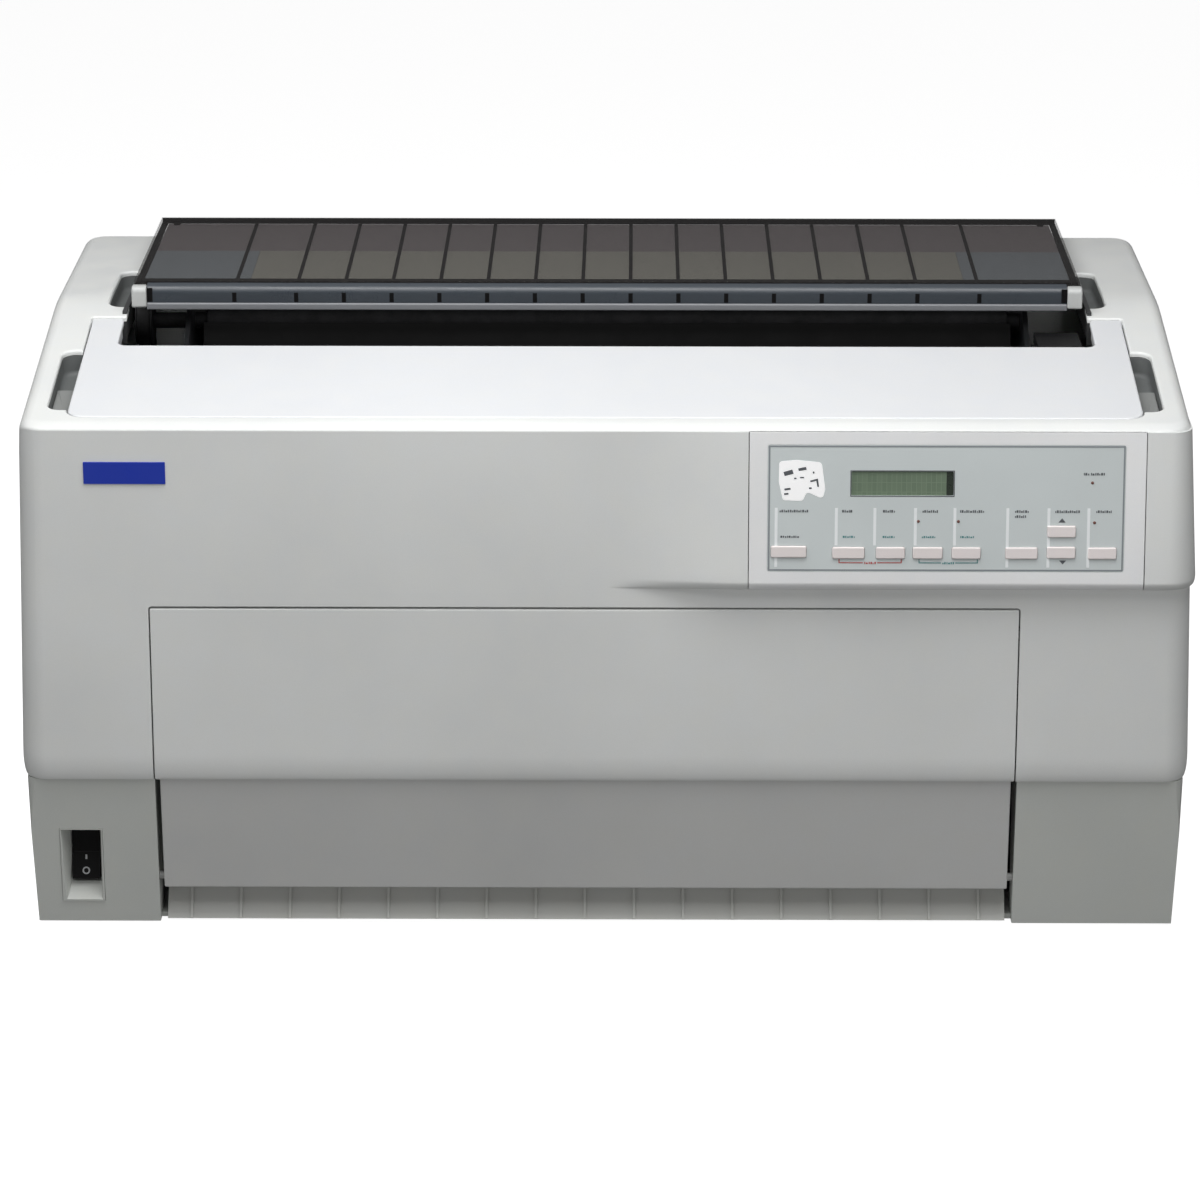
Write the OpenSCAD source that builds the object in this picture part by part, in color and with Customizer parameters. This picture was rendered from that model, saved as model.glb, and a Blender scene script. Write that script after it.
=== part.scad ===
// Wide carriage dot matrix printer with front and rear tractors.
// Millimetres. X to the right, Y to the back, Z up; the origin is on the
// surface the printer stands on, below the middle of the body.

/* [Housing] */
// Overall width of the upper case
case_w = 700; // [690:1:710]
// Wall thickness of the moulded shells
wall = 3; // [2.5:0.1:3.4]
// Height of the step between lower and upper case
step_z = 98; // [96:1:100]
// Height of the flat rear part of the case top
top_z = 348; // [347:1:348]
// Width of the white printer cover
cover_w = 633.6; // [632:0.2:634]
// Length of the paper slot in the printer cover
slot_w = 595; // [590:1:595]

/* [Paper openings] */
// Left edge of the front door
door_l = -270; // [-271:1:-270]
// Right edge of the front door
door_r = 245.6; // [245:0.1:245.6]
// Pitch of the guide ribs in the bottom slot
rib_pitch = 29.9; // [28:0.1:30]
// Number of ribs in the bottom slot
rib_count = 17; // [12:1:17]

/* [Control panel] */
// Backward tilt of the panel face in degrees
pod_tilt = 5.167; // [5.1:0.01:5.2]
// Height of a panel button along the face
key_h = 6.6; // [5:0.1:7]
// How far a button stands out of the panel face
key_rise = 0.9; // [0.5:0.1:1.2]

/* [Mechanism] */
// Radius of the main carriage shaft
shaft_r = 8; // [6:0.5:9]
// Radius of the second carriage shaft
rail_r = 6; // [5:0.5:7]
// Radial clearance of a running fit
fit = 0.06; // [0.03:0.01:0.08]
// Teeth of the paper feed gear
gear_teeth = 40; // [40]
// Teeth of the paper feed pinion
pinion_teeth = 16; // [16]

/* [Hidden] */
$fn = 48;
hw = case_w / 2;
ch = cover_w / 2;
sh = slot_w / 2;
slope = 0.1477;
rib_xs = [for (s = [-1, 1]) for (k = [0:6]) s * (14.8 + 29.5 * k), -230, 230];

// Height of the sloped top surface at depth y
function zs(y) = 319.6 + (y + 174) * slope;

// Panel buttons: middle x, middle up the face, width
keys = [[108.1, 22.6, 20.5], [143.2, 22, 18.6], [167.9, 22, 16.6], [189.8, 22, 17.2], [212.4, 22, 16.6],
        [244.8, 22, 18.6], [268.1, 35, 16.4], [268.1, 22.4, 16.4], [292.2, 22, 16.4]];

module bx(a, b) translate(a) cube(b - a);
module cx(y, z, r, x0, x1) translate([x0, y, z]) rotate([0, 90, 0]) cylinder(r = r, h = x1 - x0);
module cy(x, z, r, y0, y1) translate([x, y1, z]) rotate([90, 0, 0]) cylinder(r = r, h = y1 - y0);
module cz(x, y, r, z0, z1) translate([x, y, z0]) cylinder(r = r, h = z1 - z0);
// Side outline in (y, z), extruded from x0 to x1
module xprism(p, x0, x1) translate([x0, 0, 0]) rotate([90, 0, 90]) linear_extrude(height = x1 - x0) polygon(p);
// Front outline in (x, z), extruded from y0 to y1
module yprism(p, y0, y1) translate([0, y1, 0]) rotate([90, 0, 0]) linear_extrude(height = y1 - y0) polygon(p);
// Plan outline in (x, y), extruded from z0 to z1
module zprism(p, z0, z1) translate([0, 0, z0]) linear_extrude(height = z1 - z0) polygon(p);
// Band below the sloped top, from depth d0 to d1 and from y0 to y1
module band(x0, x1, y0, y1, d0, d1) xprism([[y0, zs(y0) - d1], [y1, zs(y1) - d1], [y1, zs(y1) - d0], [y0, zs(y0) - d0]], x0, x1);
// Both sides of the body
module both() { children(); mirror([1, 0, 0]) children(); }
// Frame of the tilted panel face: x, up the face, outward
module on_panel() translate([0, -191, 222]) rotate([90 - pod_tilt, 0, 0]) children();
// Upright block with round corners
module rblock(x0, x1, y0, y1, r, z0, z1) {
  bx([x0 + r, y0, z0], [x1 - r, y1, z1]);
  bx([x0, y0 + r, z0], [x1, y1 - r, z1]);
  for (x = [x0 + r, x1 - r]) for (y = [y0 + r, y1 - r]) cz(x, y, r, z0, z1);
}

// ---------------- housing ----------------
up_out = [[-182, 98], [-182, 311], [-180.9, 315], [-178.2, 318], [-174, 319.6], [4, 345.9], [18, 347.5], [32, 348],
          [180, 348], [186, 346.6], [189.8, 343], [191, 337], [191, 98]];
up_in = [[-179, 97], [-179, 310], [-177.8, 313.4], [-175.6, 315.6], [-172, 316.8], [4.4, 342.9], [18, 344.5], [32, 345],
         [179, 345], [184.4, 343.8], [187, 341], [188, 336], [188, 97]];
side_out = [[-350, 98], [-345, 306], [-344.4, 320], [-341.5, 349], [341.5, 349], [344.4, 320], [345, 306], [350, 98]];
side_in = [[-347, 97], [-342, 306], [-341.4, 320], [-338.6, 346], [338.6, 346], [341.4, 320], [342, 306], [347, 97]];
pod_out = [[-176, 315.5], [-182.4, 315.5], [-191, 222], [-189.6, 220.3], [-183, 219.8], [-176, 219.8]];
pod_in = [[-170, 312.7], [-179.6, 312.7], [-187.9, 223.4], [-186.6, 222.6], [-170, 222.6]];

module upper_outer() intersection() {
  xprism(up_out, -351, 351);
  yprism(side_out, -195, 195);
  rblock(-351, 351, -183, 192, 15, 90, 352);
}
module upper_inner() intersection() {
  xprism(up_in, -351, 351);
  yprism(side_in, -190, 190);
  rblock(-348, 348, -180, 189, 12, 90, 352);
}
module upper_case() color([0.84, 0.83, 0.80]) difference() {
  union() {
    difference() { upper_outer(); upper_inner(); }
    // inner walls and shelves round the covers
    both() {
      band(306, 333, -173, -12, 14, 17);
      band(317.6, 320.6, -173, -12, 1, 15);
      band(329, 332, -161, -66, 1, 15);
      band(318, 332, -161, -158, 1, 15);
      band(318, 332, -69, -66, 1, 15);
      band(296.5, 320.6, -15.8, -12.8, 1, 17);
      bx([296.5, -13, 330], [299.5, 178, 346]);
      bx([296.5, -2, 331], [312.5, 87.5, 334]);
      bx([309.5, -2, 331], [312.5, 87.5, 346]);
      bx([297, -2, 331], [312, 1, 345.3]);
      bx([297, 84.5, 331], [312, 87.5, 346]);
      // hinge ears of the eject cover
      bx([272, 165, 345.5], [279.5, 180, 350]);
      bx([272, 166.5, 349], [279.5, 175.5, 355]);
      cx(171, 355, 4.5, 272, 279.5);
      // hinge ears of the rear cover
      bx([255, 180, 292], [259, 187.6, 312]);
      bx([255, 187, 305], [259, 189, 312]);
    }
    band(-320, 320, -173, -168.8, 1, 14);
    bx([-299, 174.5, 332], [299, 177.5, 346]);
    // panel bulge running on to the right side, and its taper to the left
    intersection() {
      xprism(pod_out, 317.6, 351);
      yprism(side_out, -195, -170);
      rblock(-351, 350, -191, 192, 20, 200, 330);
    }
    intersection() {
      xprism(pod_out, 0, 84.4);
      zprism([[0, -181.4], [84.4, -191], [84.4, -170], [0, -170]], 200, 330);
    }
  }
  // hollow of the bulge
  xprism(pod_in, 320.6, 338);
  // printer cover and paper slot
  band(-317.6, 317.6, -168.8, -15.8, -8, 14);
  both() band(317, 329, -158, -69, -8, 14);
  bx([-296.5, -18, 320], [296.5, 165, 360]);
  bx([-271.5, 160, 320], [271.5, 174.5, 360]);
  both() bx([280, 160, 320], [296.5, 174.5, 360]);
  both() bx([296, 1, 334], [309.5, 84.5, 360]);
  // front door, panel, rear cover and rear paper slot
  bx([door_l - 0.4, -195, 90], [door_r + 0.4, -170, 207.4]);
  bx([84.4, -195, 219.5], [317.3, -172, 315.8]);
  bx([-262.8, 187.7, 111], [262.8, 195, 304]);
  bx([-255, 180, 90], [255, 195, 106]);
  // hinge bores
  both() cx(-19.6, 339.2, 1.5 + fit, 317, 322);
  both() cx(171, 355, 2 + fit, 271, 281);
  both() cx(185, 297, 2 + fit, 254, 260);
  // vents in the left side wall
  for (k = [0:11]) bx([-352, -60 + 12 * k, 130], [-338, -56 + 12 * k, 170]);
}

low_out = [[-178, 98], [-167, 2.5], [184, 2.5], [188, 98]];
low_in = [[-176, 110], [-164.3, 5.5], [181, 5.5], [185, 110]];
module lower_case() color([0.62, 0.61, 0.59]) difference() {
  union() {
    difference() {
      intersection() {
        xprism(low_out, -351, 351);
        yprism([[-347, 98], [-344, 2.5], [344, 2.5], [347, 98]], -195, 195);
        rblock(-348, 348, -179, 189, 12, 0, 100);
      }
      intersection() {
        xprism(low_in, -351, 351);
        yprism([[-344.4, 110], [-341, 5.5], [341, 5.5], [344.4, 110]], -195, 195);
      }
    }
    // rim that the upper case locates on
    both() bx([343, -150, 90], [346, 160, 106]);
    // inner walls of the two front cheeks
    intersection() {
      xprism(low_out, -351, 351);
      union() {
        bx([-273, -180, 2.5], [-270, -145, 98]);
        bx([247, -180, 2.5], [250, -145, 98]);
      }
    }
  }
  bx([-270, -195, -1], [247, -159.4, 120]);
  // hinge bores of the front door
  cx(-163, 31, 2.5 + fit, -274, -269);
  cx(-163, 31, 2.5 + fit, 246, 251);
  // power switch, inlet, ports and rear paper slot
  bx([-329, -185, 16], [-303, -155, 65]);
  bx([-322, 178, 28], [-290, 195, 54]);
  bx([200, 178, 30], [330, 195, 62]);
  bx([-255, 178, 64], [255, 195, 120]);
  // screw heads
  for (x = [-249, 249]) for (y = [-100, -20, 60, 130]) cz(x, y, 3.9, 0, 6);
}

module printer_cover() color([0.95, 0.95, 0.94]) difference() {
  union() {
    band(-ch, ch, -168.2, -19.6, 0, 3);
    both() band(ch - 5, ch - 2.5, -160, -24, 2, 10);
    both() cx(-19.6, 339.2, 3.2, sh + 1, ch);
    both() cx(-19.6, 339.2, 1.5, ch - 6, 320.4);
    band(-ch + 5, ch - 5, -163, -160.5, 2, 10);
    band(-sh - 2, sh + 2, -63.6, -60.6, 2, 10);
    both() band(sh, sh + 2.5, -62, -24, 2, 10);
  }
  band(-sh, sh, -60.6, -10, -5, 16);
}

// Profile of the rounded front wall of the eject cover
ec_front = [[-11, 350.8], [-11, 356], [-10.54, 358.3], [-9.24, 360.24], [-7.3, 361.54], [-5, 362], [-4.5, 362],
            [-4.5, 360.2], [-5.4, 359.4], [-6.5, 359], [-7.4, 358.4], [-8.14, 357.3], [-8.4, 356], [-8.4, 350.8]];
module eject_cover() color([0.16, 0.15, 0.15, 0.6]) union() {
  bx([-292.5, -4.5, 360], [292.5, 174, 363]);
  // thicker rear half
  bx([-289.9, 93, 359], [289.9, 163, 360.5]);
  for (x = rib_xs) bx([x - 0.8, -4, 357], [x + 0.8, 165, 360.5]);
}
// Front wall, side walls and hinge arms that hang from the cover plate
module eject_cover_walls() color([0.16, 0.15, 0.15, 0.6]) {
  xprism(ec_front, -284.2, 284.2);
  both() bx([289.9, -4.5, 349.4], [292.5, 168, 360]);
  both() union() { bx([280.2, 166.5, 355], [284.4, 173.8, 360]); cx(171, 355, 4.4, 280.2, 284.4); cx(171, 355, 2, 272.5, 282); }
}
module eject_cover_rail() color([0.80, 0.81, 0.82]) {
  difference() {
    xprism([[-12, 346.3], [-12, 350], [-11.2, 350.8], [-6.5, 350.8], [-6.5, 346.3]], -284.2, 284.2);
    bx([-283, -10.6, 345], [283, -7.6, 348.6]);
  }
}
module rail_end_caps() color([0.95, 0.95, 0.94]) both() union() {
  bx([284.2, -12.5, 347.6], [293.6, -4.5, 358]);
  bx([284.2, -9.5, 357], [293.6, -4.5, 361]);
  intersection() { cx(-8.5, 357, 4, 284.2, 293.6); bx([284, -12.5, 352], [294, -4.5, 362]); }
}

door_top = [[-182, 206.4], [-182, 100.5], [-181, 98.6], [-178, 98.2], [-176.5, 98.2], [-178.8, 101.2], [-179, 206.4]];
door_low = [[-178.6, 101], [-169.5, 25.4], [-166.5, 25.4], [-175.3, 101]];
module front_cover() color([0.68, 0.67, 0.65]) difference() {
  union() {
    xprism(door_top, door_l + 0.3, door_r - 0.3);
    xprism(door_low, -267, 243.5);
    bx([door_l + 2.3, -180.5, 203.4], [door_r - 2.3, -170, 206.4]);
    bx([door_l + 2.3, -180.5, 108], [door_l + 5.3, -170, 205]);
    bx([door_r - 5.3, -180.5, 108], [door_r - 2.3, -170, 205]);
    for (s = [[-266.6, -262.6], [239.1, 243.1]]) {
      bx([s[0], -169.5, 27.5], [s[1], -163, 34.5]);
      cx(-163, 31, 4.2, s[0], s[1]);
    }
    cx(-163, 31, 2.5, -272.6, -264);
    cx(-163, 31, 2.5, 241, 249.6);
  }
  // finger notch along the inside of the top edge
  bx([-60, -175, 203], [40, -169, 207]);
}
module rear_cover() color([0.80, 0.79, 0.77]) union() {
  difference() {
    bx([-262, 188.2, 112], [262, 191, 300]);
    // notches that clear the hinge ears as the cover swings up
    both() bx([254.7, 187, 292], [263, 192, 301]);
  }
  bx([-258, 183, 116], [-255.4, 189, 280]);
  bx([255.4, 183, 116], [258, 189, 280]);
  both() { bx([250.4, 184, 291], [254.4, 189, 300]); cx(185, 297, 3, 250.4, 254.4); cx(185, 297, 2, 252, 258.8); }
  bx([-40, 185, 116], [40, 189, 119]);
}

module panel_bezel() color([0.88, 0.88, 0.86]) difference() {
  xprism(pod_out, 84.7, 317);
  xprism(pod_in, 87.2, 314.5);
  on_panel() {
    bx([95.4, 9.8, -0.8], [308.2, 86.6, 5]);
    bx([143, 55.8, -6], [204.4, 71, 1]);
    for (k = keys) bx([k[0] - k[2] / 2 - 0.4, k[1] - key_h / 2 - 0.4, -6], [k[0] + k[2] / 2 + 0.4, k[1] + key_h / 2 + 0.4, 1]);
  }
}
module panel_overlay() color([0.72, 0.75, 0.75]) on_panel() difference() {
  bx([95.6, 10, -0.8], [308, 86.4, -0.15]);
  bx([143, 55.8, -6], [204.4, 71, 1]);
  for (k = keys) bx([k[0] - k[2] / 2 - 0.4, k[1] - key_h / 2 - 0.4, -6], [k[0] + k[2] / 2 + 0.4, k[1] + key_h / 2 + 0.4, 1]);
  for (p = leds) translate([p[0], p[1], -3]) cylinder(r = 1.3, h = 5);
}
leds = [[184, 40.9], [207.5, 40.9], [287.3, 40.3], [285.6, 64.1]];
module led_lenses() color([0.75, 0.35, 0.25]) on_panel() for (p = leds) translate([p[0], p[1], -0.8]) cylinder(r = 1.2, h = 0.9);
module lcd_window() color([0.36, 0.47, 0.36]) on_panel() bx([143.2, 56, -3], [204.2, 70.8, -0.35]);
module name_plate() color([0.20, 0.28, 0.50]) bx([-306.1, -182.7, 283.1], [-257.9, -182, 296.5]);
module feet() color([0.12, 0.12, 0.12]) for (x = [-310, 310]) for (y = [-130, 150]) cz(x, y, 12, 0, 2.5);

// Panel button: cap, stem and the flange that holds it behind the bezel
module button(k) color([0.90, 0.86, 0.85]) on_panel() union() {
  bx([k[0] - k[2] / 2, k[1] - key_h / 2, -3], [k[0] + k[2] / 2, k[1] + key_h / 2, key_rise]);
  bx([k[0] - k[2] / 2 - 1, k[1] - key_h / 2 - 1, -4.2], [k[0] + k[2] / 2 + 1, k[1] + key_h / 2 + 1, -3.2]);
  bx([k[0] - 2.5, k[1] - 2, -7.6], [k[0] + 2.5, k[1] + 2, -2]);
  bx([k[0] - k[2] / 2 + 1, k[1] - key_h / 2 + 1, -3.6], [k[0] + k[2] / 2 - 1, k[1] + key_h / 2 - 1, -2]);
}
module button_1() button(keys[0]);
module button_2() button(keys[1]);
module button_3() button(keys[2]);
module button_4() button(keys[3]);
module button_5() button(keys[4]);
module button_6() button(keys[5]);
module button_7() button(keys[6]);
module button_8() button(keys[7]);
module button_9() button(keys[8]);

// Mains switch in the left cheek
module power_switch_frame() color([0.60, 0.59, 0.57]) difference() {
  xprism([[-169.2, 16.2], [-174.6, 64.8], [-148, 64.8], [-148, 16.2]], -328.8, -303.2);
  bx([-323.6, -180, 26.4], [-305.9, -150, 62.6]);
  // funnel round the rocker
  intersection() {
    xprism([[-180, 5.1], [-180, 64.6], [-161.5, 62.6], [-161.5, 26.4]], -335, -300);
    zprism([[-330.1, -180], [-302.7, -180], [-305.9, -161.5], [-323.6, -161.5]], 0, 80);
  }
  cx(-156, 44.5, 2 + fit, -326, -304.2);
}
module power_rocker() color([0.06, 0.06, 0.07]) translate([0, -156, 44.5]) rotate([-7, 0, 0]) union() {
  xprism([[-7.5, -16.4], [-4.6, 0], [-7.5, 16.4], [-1, 16.4], [5, 5], [5, -5], [-1, -16.4]], -323, -306.5);
  cx(0, 0, 2, -325.4, -304.6);
}

// ---------------- electronics ----------------
module control_board() color([0.10, 0.32, 0.18]) on_panel() union() {
  bx([98, 12, -16.6], [306, 84, -15]);
  for (k = keys) bx([k[0] - 3, k[1] - 3, -15.5], [k[0] + 3, k[1] + 3, -9.2]);
  bx([140, 52, -15.5], [208, 74, -5]);
  bx([120, 34, -20], [150, 50, -16]);
}
module main_board() color([0.10, 0.32, 0.18]) union() {
  bx([318, -120, 12], [319.6, 160, 190]);
  bx([314.5, -80, 60], [318.5, -40, 100]);
  bx([315, -10, 60], [318.5, 20, 80]);
  bx([315, 40, 60], [318.5, 70, 80]);
  bx([308, -100, 130], [318.5, -20, 170]);
  for (k = [0:3]) cx(10 + 28 * k, 140, 8, 304, 318.9);
  bx([310, 90, 24], [318.5, 136, 38]);
  // floor clips
  bx([316, -110, 5.5], [322, -100, 20.5]);
  bx([316, 142, 5.5], [322, 152, 20.5]);
}
module power_supply() color([0.72, 0.73, 0.74]) difference() {
  bx([-338, -100, 5.5], [-298, 100, 112]);
  bx([-336.5, -98.5, 7], [-299.5, 98.5, 110.5]);
  for (k = [0:7]) bx([-299.9, -80 + 20 * k, 30], [-297, -70 + 20 * k, 90]);
}
module ac_inlet() color([0.08, 0.08, 0.08]) difference() {
  union() { bx([-321.5, 160, 28.5], [-290.5, 186.4, 53.5]); }
  bx([-317, 168, 32], [-295, 190, 50]);
}
module interface_ports() color([0.55, 0.56, 0.58]) union() {
  bx([201, 172, 31], [329, 176, 61]);
  bx([210, 175, 38], [265, 185.6, 52]);
  bx([280, 175, 36], [296, 185.6, 50]);
  bx([304, 175, 36], [320, 185.6, 50]);
}

// ---------------- frame ----------------
frame_pts = [[-134, 5.5], [-134, 186], [-130, 192], [-130, 304], [-40, 316], [5, 343], [160, 343], [168, 330], [168, 5.5]];
module frame_plate() difference() {
  union() {
    xprism(frame_pts, 258, 261);
    bx([240, -120, 5.5], [259, 150, 8.5]);
  }
  cx(-70, 250, shaft_r, 250, 270);
  cx(-118, 262, rail_r, 250, 270);
  cx(28, 330, 5 + fit, 250, 270);
  cx(-112, 134, 7 + fit, 250, 270);
  cx(112, 168, 7 + fit, 250, 270);
  cx(-112, 170, 5, 250, 270);
  cx(112, 204, 5, 250, 270);
  for (y = [-100, -20, 60, 130]) cz(249, y, 2, 0, 12);
}
module frame_right() color([0.70, 0.71, 0.72]) union() {
  frame_plate();
  // shelf and pin of the idler pulley
  bx([216, -118, 216], [259, -82, 219]);
  cz(235, -100, 3, 218, 238.5);
}
module frame_left() color([0.70, 0.71, 0.72]) difference() {
  union() {
    mirror([1, 0, 0]) frame_plate();
    // shelf that carries the carriage motor
    bx([-259, -124, 222], [-210, -76, 224.5]);
  }
  cz(-235, -100, 6, 220, 226);
  cx(-95.2, 111.6, 6, -262, -257);
}
module tube_bar(y, z, w) difference() {
  bx([-258, y - w / 2, z - w / 2], [258, y + w / 2, z + w / 2]);
  bx([-260, y - w / 2 + 2, z - w / 2 + 2], [260, y + w / 2 - 2, z + w / 2 - 2]);
}
module cross_beams() color([0.62, 0.63, 0.65]) {
  tube_bar(80, 60, 20);
  tube_bar(-52, 202, 16);
  tube_bar(140, 300, 18);
}
module case_screws() color([0.75, 0.76, 0.78])
  for (x = [-249, 249]) for (y = [-100, -20, 60, 130])
    difference() {
      union() { cz(x, y, 3.8, 2.8, 5.5); cz(x, y, 2, 5, 12); }
      bx([x - 2.6, y - 0.5, 2], [x + 2.6, y + 0.5, 4]);
      bx([x - 0.5, y - 2.6, 2], [x + 0.5, y + 2.6, 4]);
    }

// ---------------- print mechanism ----------------
module platen() color([0.30, 0.31, 0.32]) xprism([[-14, 272], [-14, 297], [-11, 300], [6, 300], [6, 268], [-10, 268]], -258, 258);
// Two shafts of the carriage and the two that the tractors slide on
module guide_shafts() color([0.78, 0.79, 0.80]) {
  cx(-70, 250, shaft_r, -262, 262);
  cx(-118, 262, rail_r, -262, 262);
  cx(-112, 170, 5, -262, 262);
  cx(112, 204, 5, -262, 262);
}
module carriage() color([0.14, 0.14, 0.15]) difference() {
  union() {
    bx([-30, -130, 244], [30, -58, 272]);
    bx([-30, -84, 238], [30, -56.5, 262]);
    bx([-24, -90, 268], [24, -44, 274]);
    bx([-12, -117, 227], [12, -108, 246]);
  }
  cx(-70, 250, shaft_r + fit, -35, 35);
  cx(-118, 262, rail_r + fit, -35, 35);
  bx([-13, -114.2, 220], [13, -111.3, 238]);
}
module print_head() color([0.55, 0.56, 0.58]) union() {
  bx([-14, -60, 274], [14, -34, 300]);
  bx([-6, -36, 277], [6, -21, 295]);
  bx([-4, -23, 281], [4, -16.2, 292]);
  for (k = [0:5]) bx([-20, -62, 277 + 4.4 * k], [20, -32, 278.6 + 4.4 * k]);
}
module ribbon_cartridge() color([0.09, 0.09, 0.10]) difference() {
  union() {
    bx([-250, -166, 272], [250, -136, 300]);
    both() bx([228, -137, 276], [250, -16.5, 296]);
    both() bx([248, -126, 281], [258, -100, 284]);
    bx([-229, -15.8, 279], [229, -15.4, 292]);
    both() bx([226, -18, 277], [230, -15, 295]);
  }
  bx([-225, -163, 275], [225, -139, 297]);
  cz(-200, -151, 4 + fit, 290, 302);
}
module ribbon_knob() color([0.30, 0.33, 0.60]) union() {
  difference() {
    cz(-200, -151, 11, 300.6, 308);
    for (a = [0:30:330]) translate([-200, -151, 300]) rotate([0, 0, a]) translate([11.4, 0, 0]) cylinder(r = 1.4, h = 10);
  }
  cz(-200, -151, 4, 292, 302);
  cz(-200, -151, 6, 291, 296.8);
}
// Closed belt round two equal pulleys in the plane x = const
module belt_x(p, q, r, t, x0, x1) {
  d = [q[0] - p[0], q[1] - p[1]];
  l = norm(d);
  a = atan2(d[1], d[0]);
  translate([0, p[0], p[1]]) rotate([a, 0, 0]) difference() {
    union() { cx(0, 0, r + t, x0, x1); cx(l, 0, r + t, x0, x1); bx([x0, 0, -r - t], [x1, l, r + t]); }
    cx(0, 0, r, x0 - 1, x1 + 1); cx(l, 0, r, x0 - 1, x1 + 1); bx([x0 - 1, 0, -r], [x1 + 1, l, r]);
  }
}
module drive_belts() color([0.07, 0.07, 0.07]) {
  difference() {
    union() { cz(-235, -100, 13.5, 228, 235); cz(235, -100, 13.5, 228, 235); bx([-235, -113.5, 228], [235, -86.5, 235]); }
    cz(-235, -100, 12, 227, 236); cz(235, -100, 12, 227, 236); bx([-235, -112, 227], [235, -88, 236]);
  }
  belt_x([-112, 134], [112, 168], 14, 1.4, -282, -275);
  belt_x([112, 168], [28, 330], 14, 1.4, -293, -286);
}
module motors() color([0.20, 0.20, 0.21]) {
  difference() {
    union() { cz(-235, -100, 22, 182, 221.9); cz(-235, -100, 19, 179, 183); }
    cz(-235, -100, 3 + fit, 205, 225);
  }
  difference() {
    union() { cx(-95.2, 111.6, 20, -257.9, -216); cx(-95.2, 111.6, 17, -217, -213); }
    cx(-95.2, 111.6, 3 + fit, -260, -240);
  }
}
module motor_pulley() color([0.75, 0.76, 0.77]) union() {
  cz(-235, -100, 11.7, 226, 237);
  cz(-235, -100, 13.4, 226, 227.4);
  cz(-235, -100, 13.4, 235.6, 237);
  cz(-235, -100, 3, 208, 227);
}
module idler_pulley() color([0.75, 0.76, 0.77]) difference() {
  union() { cz(235, -100, 11.7, 226, 237); cz(235, -100, 13.4, 226, 227.4); cz(235, -100, 13.4, 235.6, 237); }
  cz(235, -100, 3 + fit, 220, 240);
}
// Straight toothed gear, module 1, tooth or gap on the +Y side
module gear(n, w, shift) rotate([90, 0, 90]) linear_extrude(height = w) polygon([
  for (k = [0:n - 1]) for (e = [[-0.315, 0], [-0.15, 1], [0.15, 1], [0.315, 0]])
    let (a = (k + e[0] + shift) * 360 / n, r = e[1] == 1 ? n / 2 + 0.85 : n / 2 - 1.25)
    [r * cos(a), r * sin(a)]]);
gear_dir = atan2(-22.4, 16.8);
module feed_pinion() color([0.85, 0.82, 0.70]) union() {
  translate([-271, -95.2, 111.6]) rotate([gear_dir + 180, 0, 0]) gear(pinion_teeth, 6, 0.5);
  cx(-95.2, 111.6, 3, -266, -243);
}
module flanged(y, z, x0, x1) { cx(y, z, 13.7, x0, x1); cx(y, z, 15, x0, x0 + 1); cx(y, z, 15, x1 - 1, x1); }
module front_drive_shaft() color([0.78, 0.79, 0.80]) union() {
  cx(-112, 134, 7, -284.5, 262.5);
  translate([-271, -112, 134]) rotate([gear_dir, 0, 0]) gear(gear_teeth, 6, 0);
  flanged(-112, 134, -283.8, -273.2);
}
module rear_drive_shaft() color([0.78, 0.79, 0.80]) union() {
  cx(112, 168, 7, -295.5, 262.5);
  flanged(112, 168, -283.8, -273.2);
  flanged(112, 168, -294.8, -284.2);
}
module exit_roller() color([0.16, 0.16, 0.17]) union() {
  cx(28, 330, 5, -295.5, 262.5);
  cx(28, 330, 9, -250, 250);
  flanged(28, 330, -294.8, -284.2);
}

// ---------------- paper path ----------------
// Sheet guide of thickness t that follows points p
module sheet(p, t, x0, x1) xprism(concat(p, [for (i = [len(p) - 1:-1:0]) [p[i][0] + t[0], p[i][1] + t[1]]]), x0, x1);
lower_path = [[-164.5, 3.2], [-151, 24], [-142, 60], [-138.6, 104]];
module lower_paper_guide() color([0.60, 0.59, 0.57]) union() {
  sheet(lower_path, [2.6, -0.4], -266, 243);
  for (k = [0:rib_count - 1]) let (x = -251.4 + rib_pitch * k)
    xprism([[-165.8, 4.2], [-152.4, 24.6], [-143.6, 60], [-140.2, 104], [-138, 104], [-141, 60], [-150, 23.6], [-163.5, 3.4]], x - 0.8, x + 0.8);
  // feet that stand on the floor of the lower case
  for (x = [-200, 0, 200]) bx([x - 6, -150, 5.5], [x + 6, -144, 26]);
}
module inner_paper_guides() color([0.20, 0.20, 0.21]) {
  sheet([[-136, 192], [-60, 222], [-32, 238], [-19, 262]], [1.6, -1.6], -205, 205);
  sheet([[134, 228], [60, 246], [2, 256], [-10, 264]], [-0.4, -2], -205, 205);
  sheet([[176, 66], [150, 104], [141.5, 146]], [-2, -0.6], -205, 205);
  // guide from the platen up to the exit roller
  sheet([[7.2, 301.5], [9.6, 318], [16, 331.5]], [1.6, -0.6], -252, 252);
  // housing of the paper thickness lever on the right frame
  bx([263, -58, 329], [290, -22, 335.5]);
  bx([261, -52, 300], [266, -30, 330]);
}
module exit_guide_plate() color([0.78, 0.75, 0.66]) union() {
  bx([-222, 46, 343], [222, 150, 345.4]);
  bx([-261, 62, 343], [261, 78, 345.4]);
  bx([-261, 122, 343], [261, 138, 345.4]);
  bx([-222, 46, 340], [222, 48, 344]);
}

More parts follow.
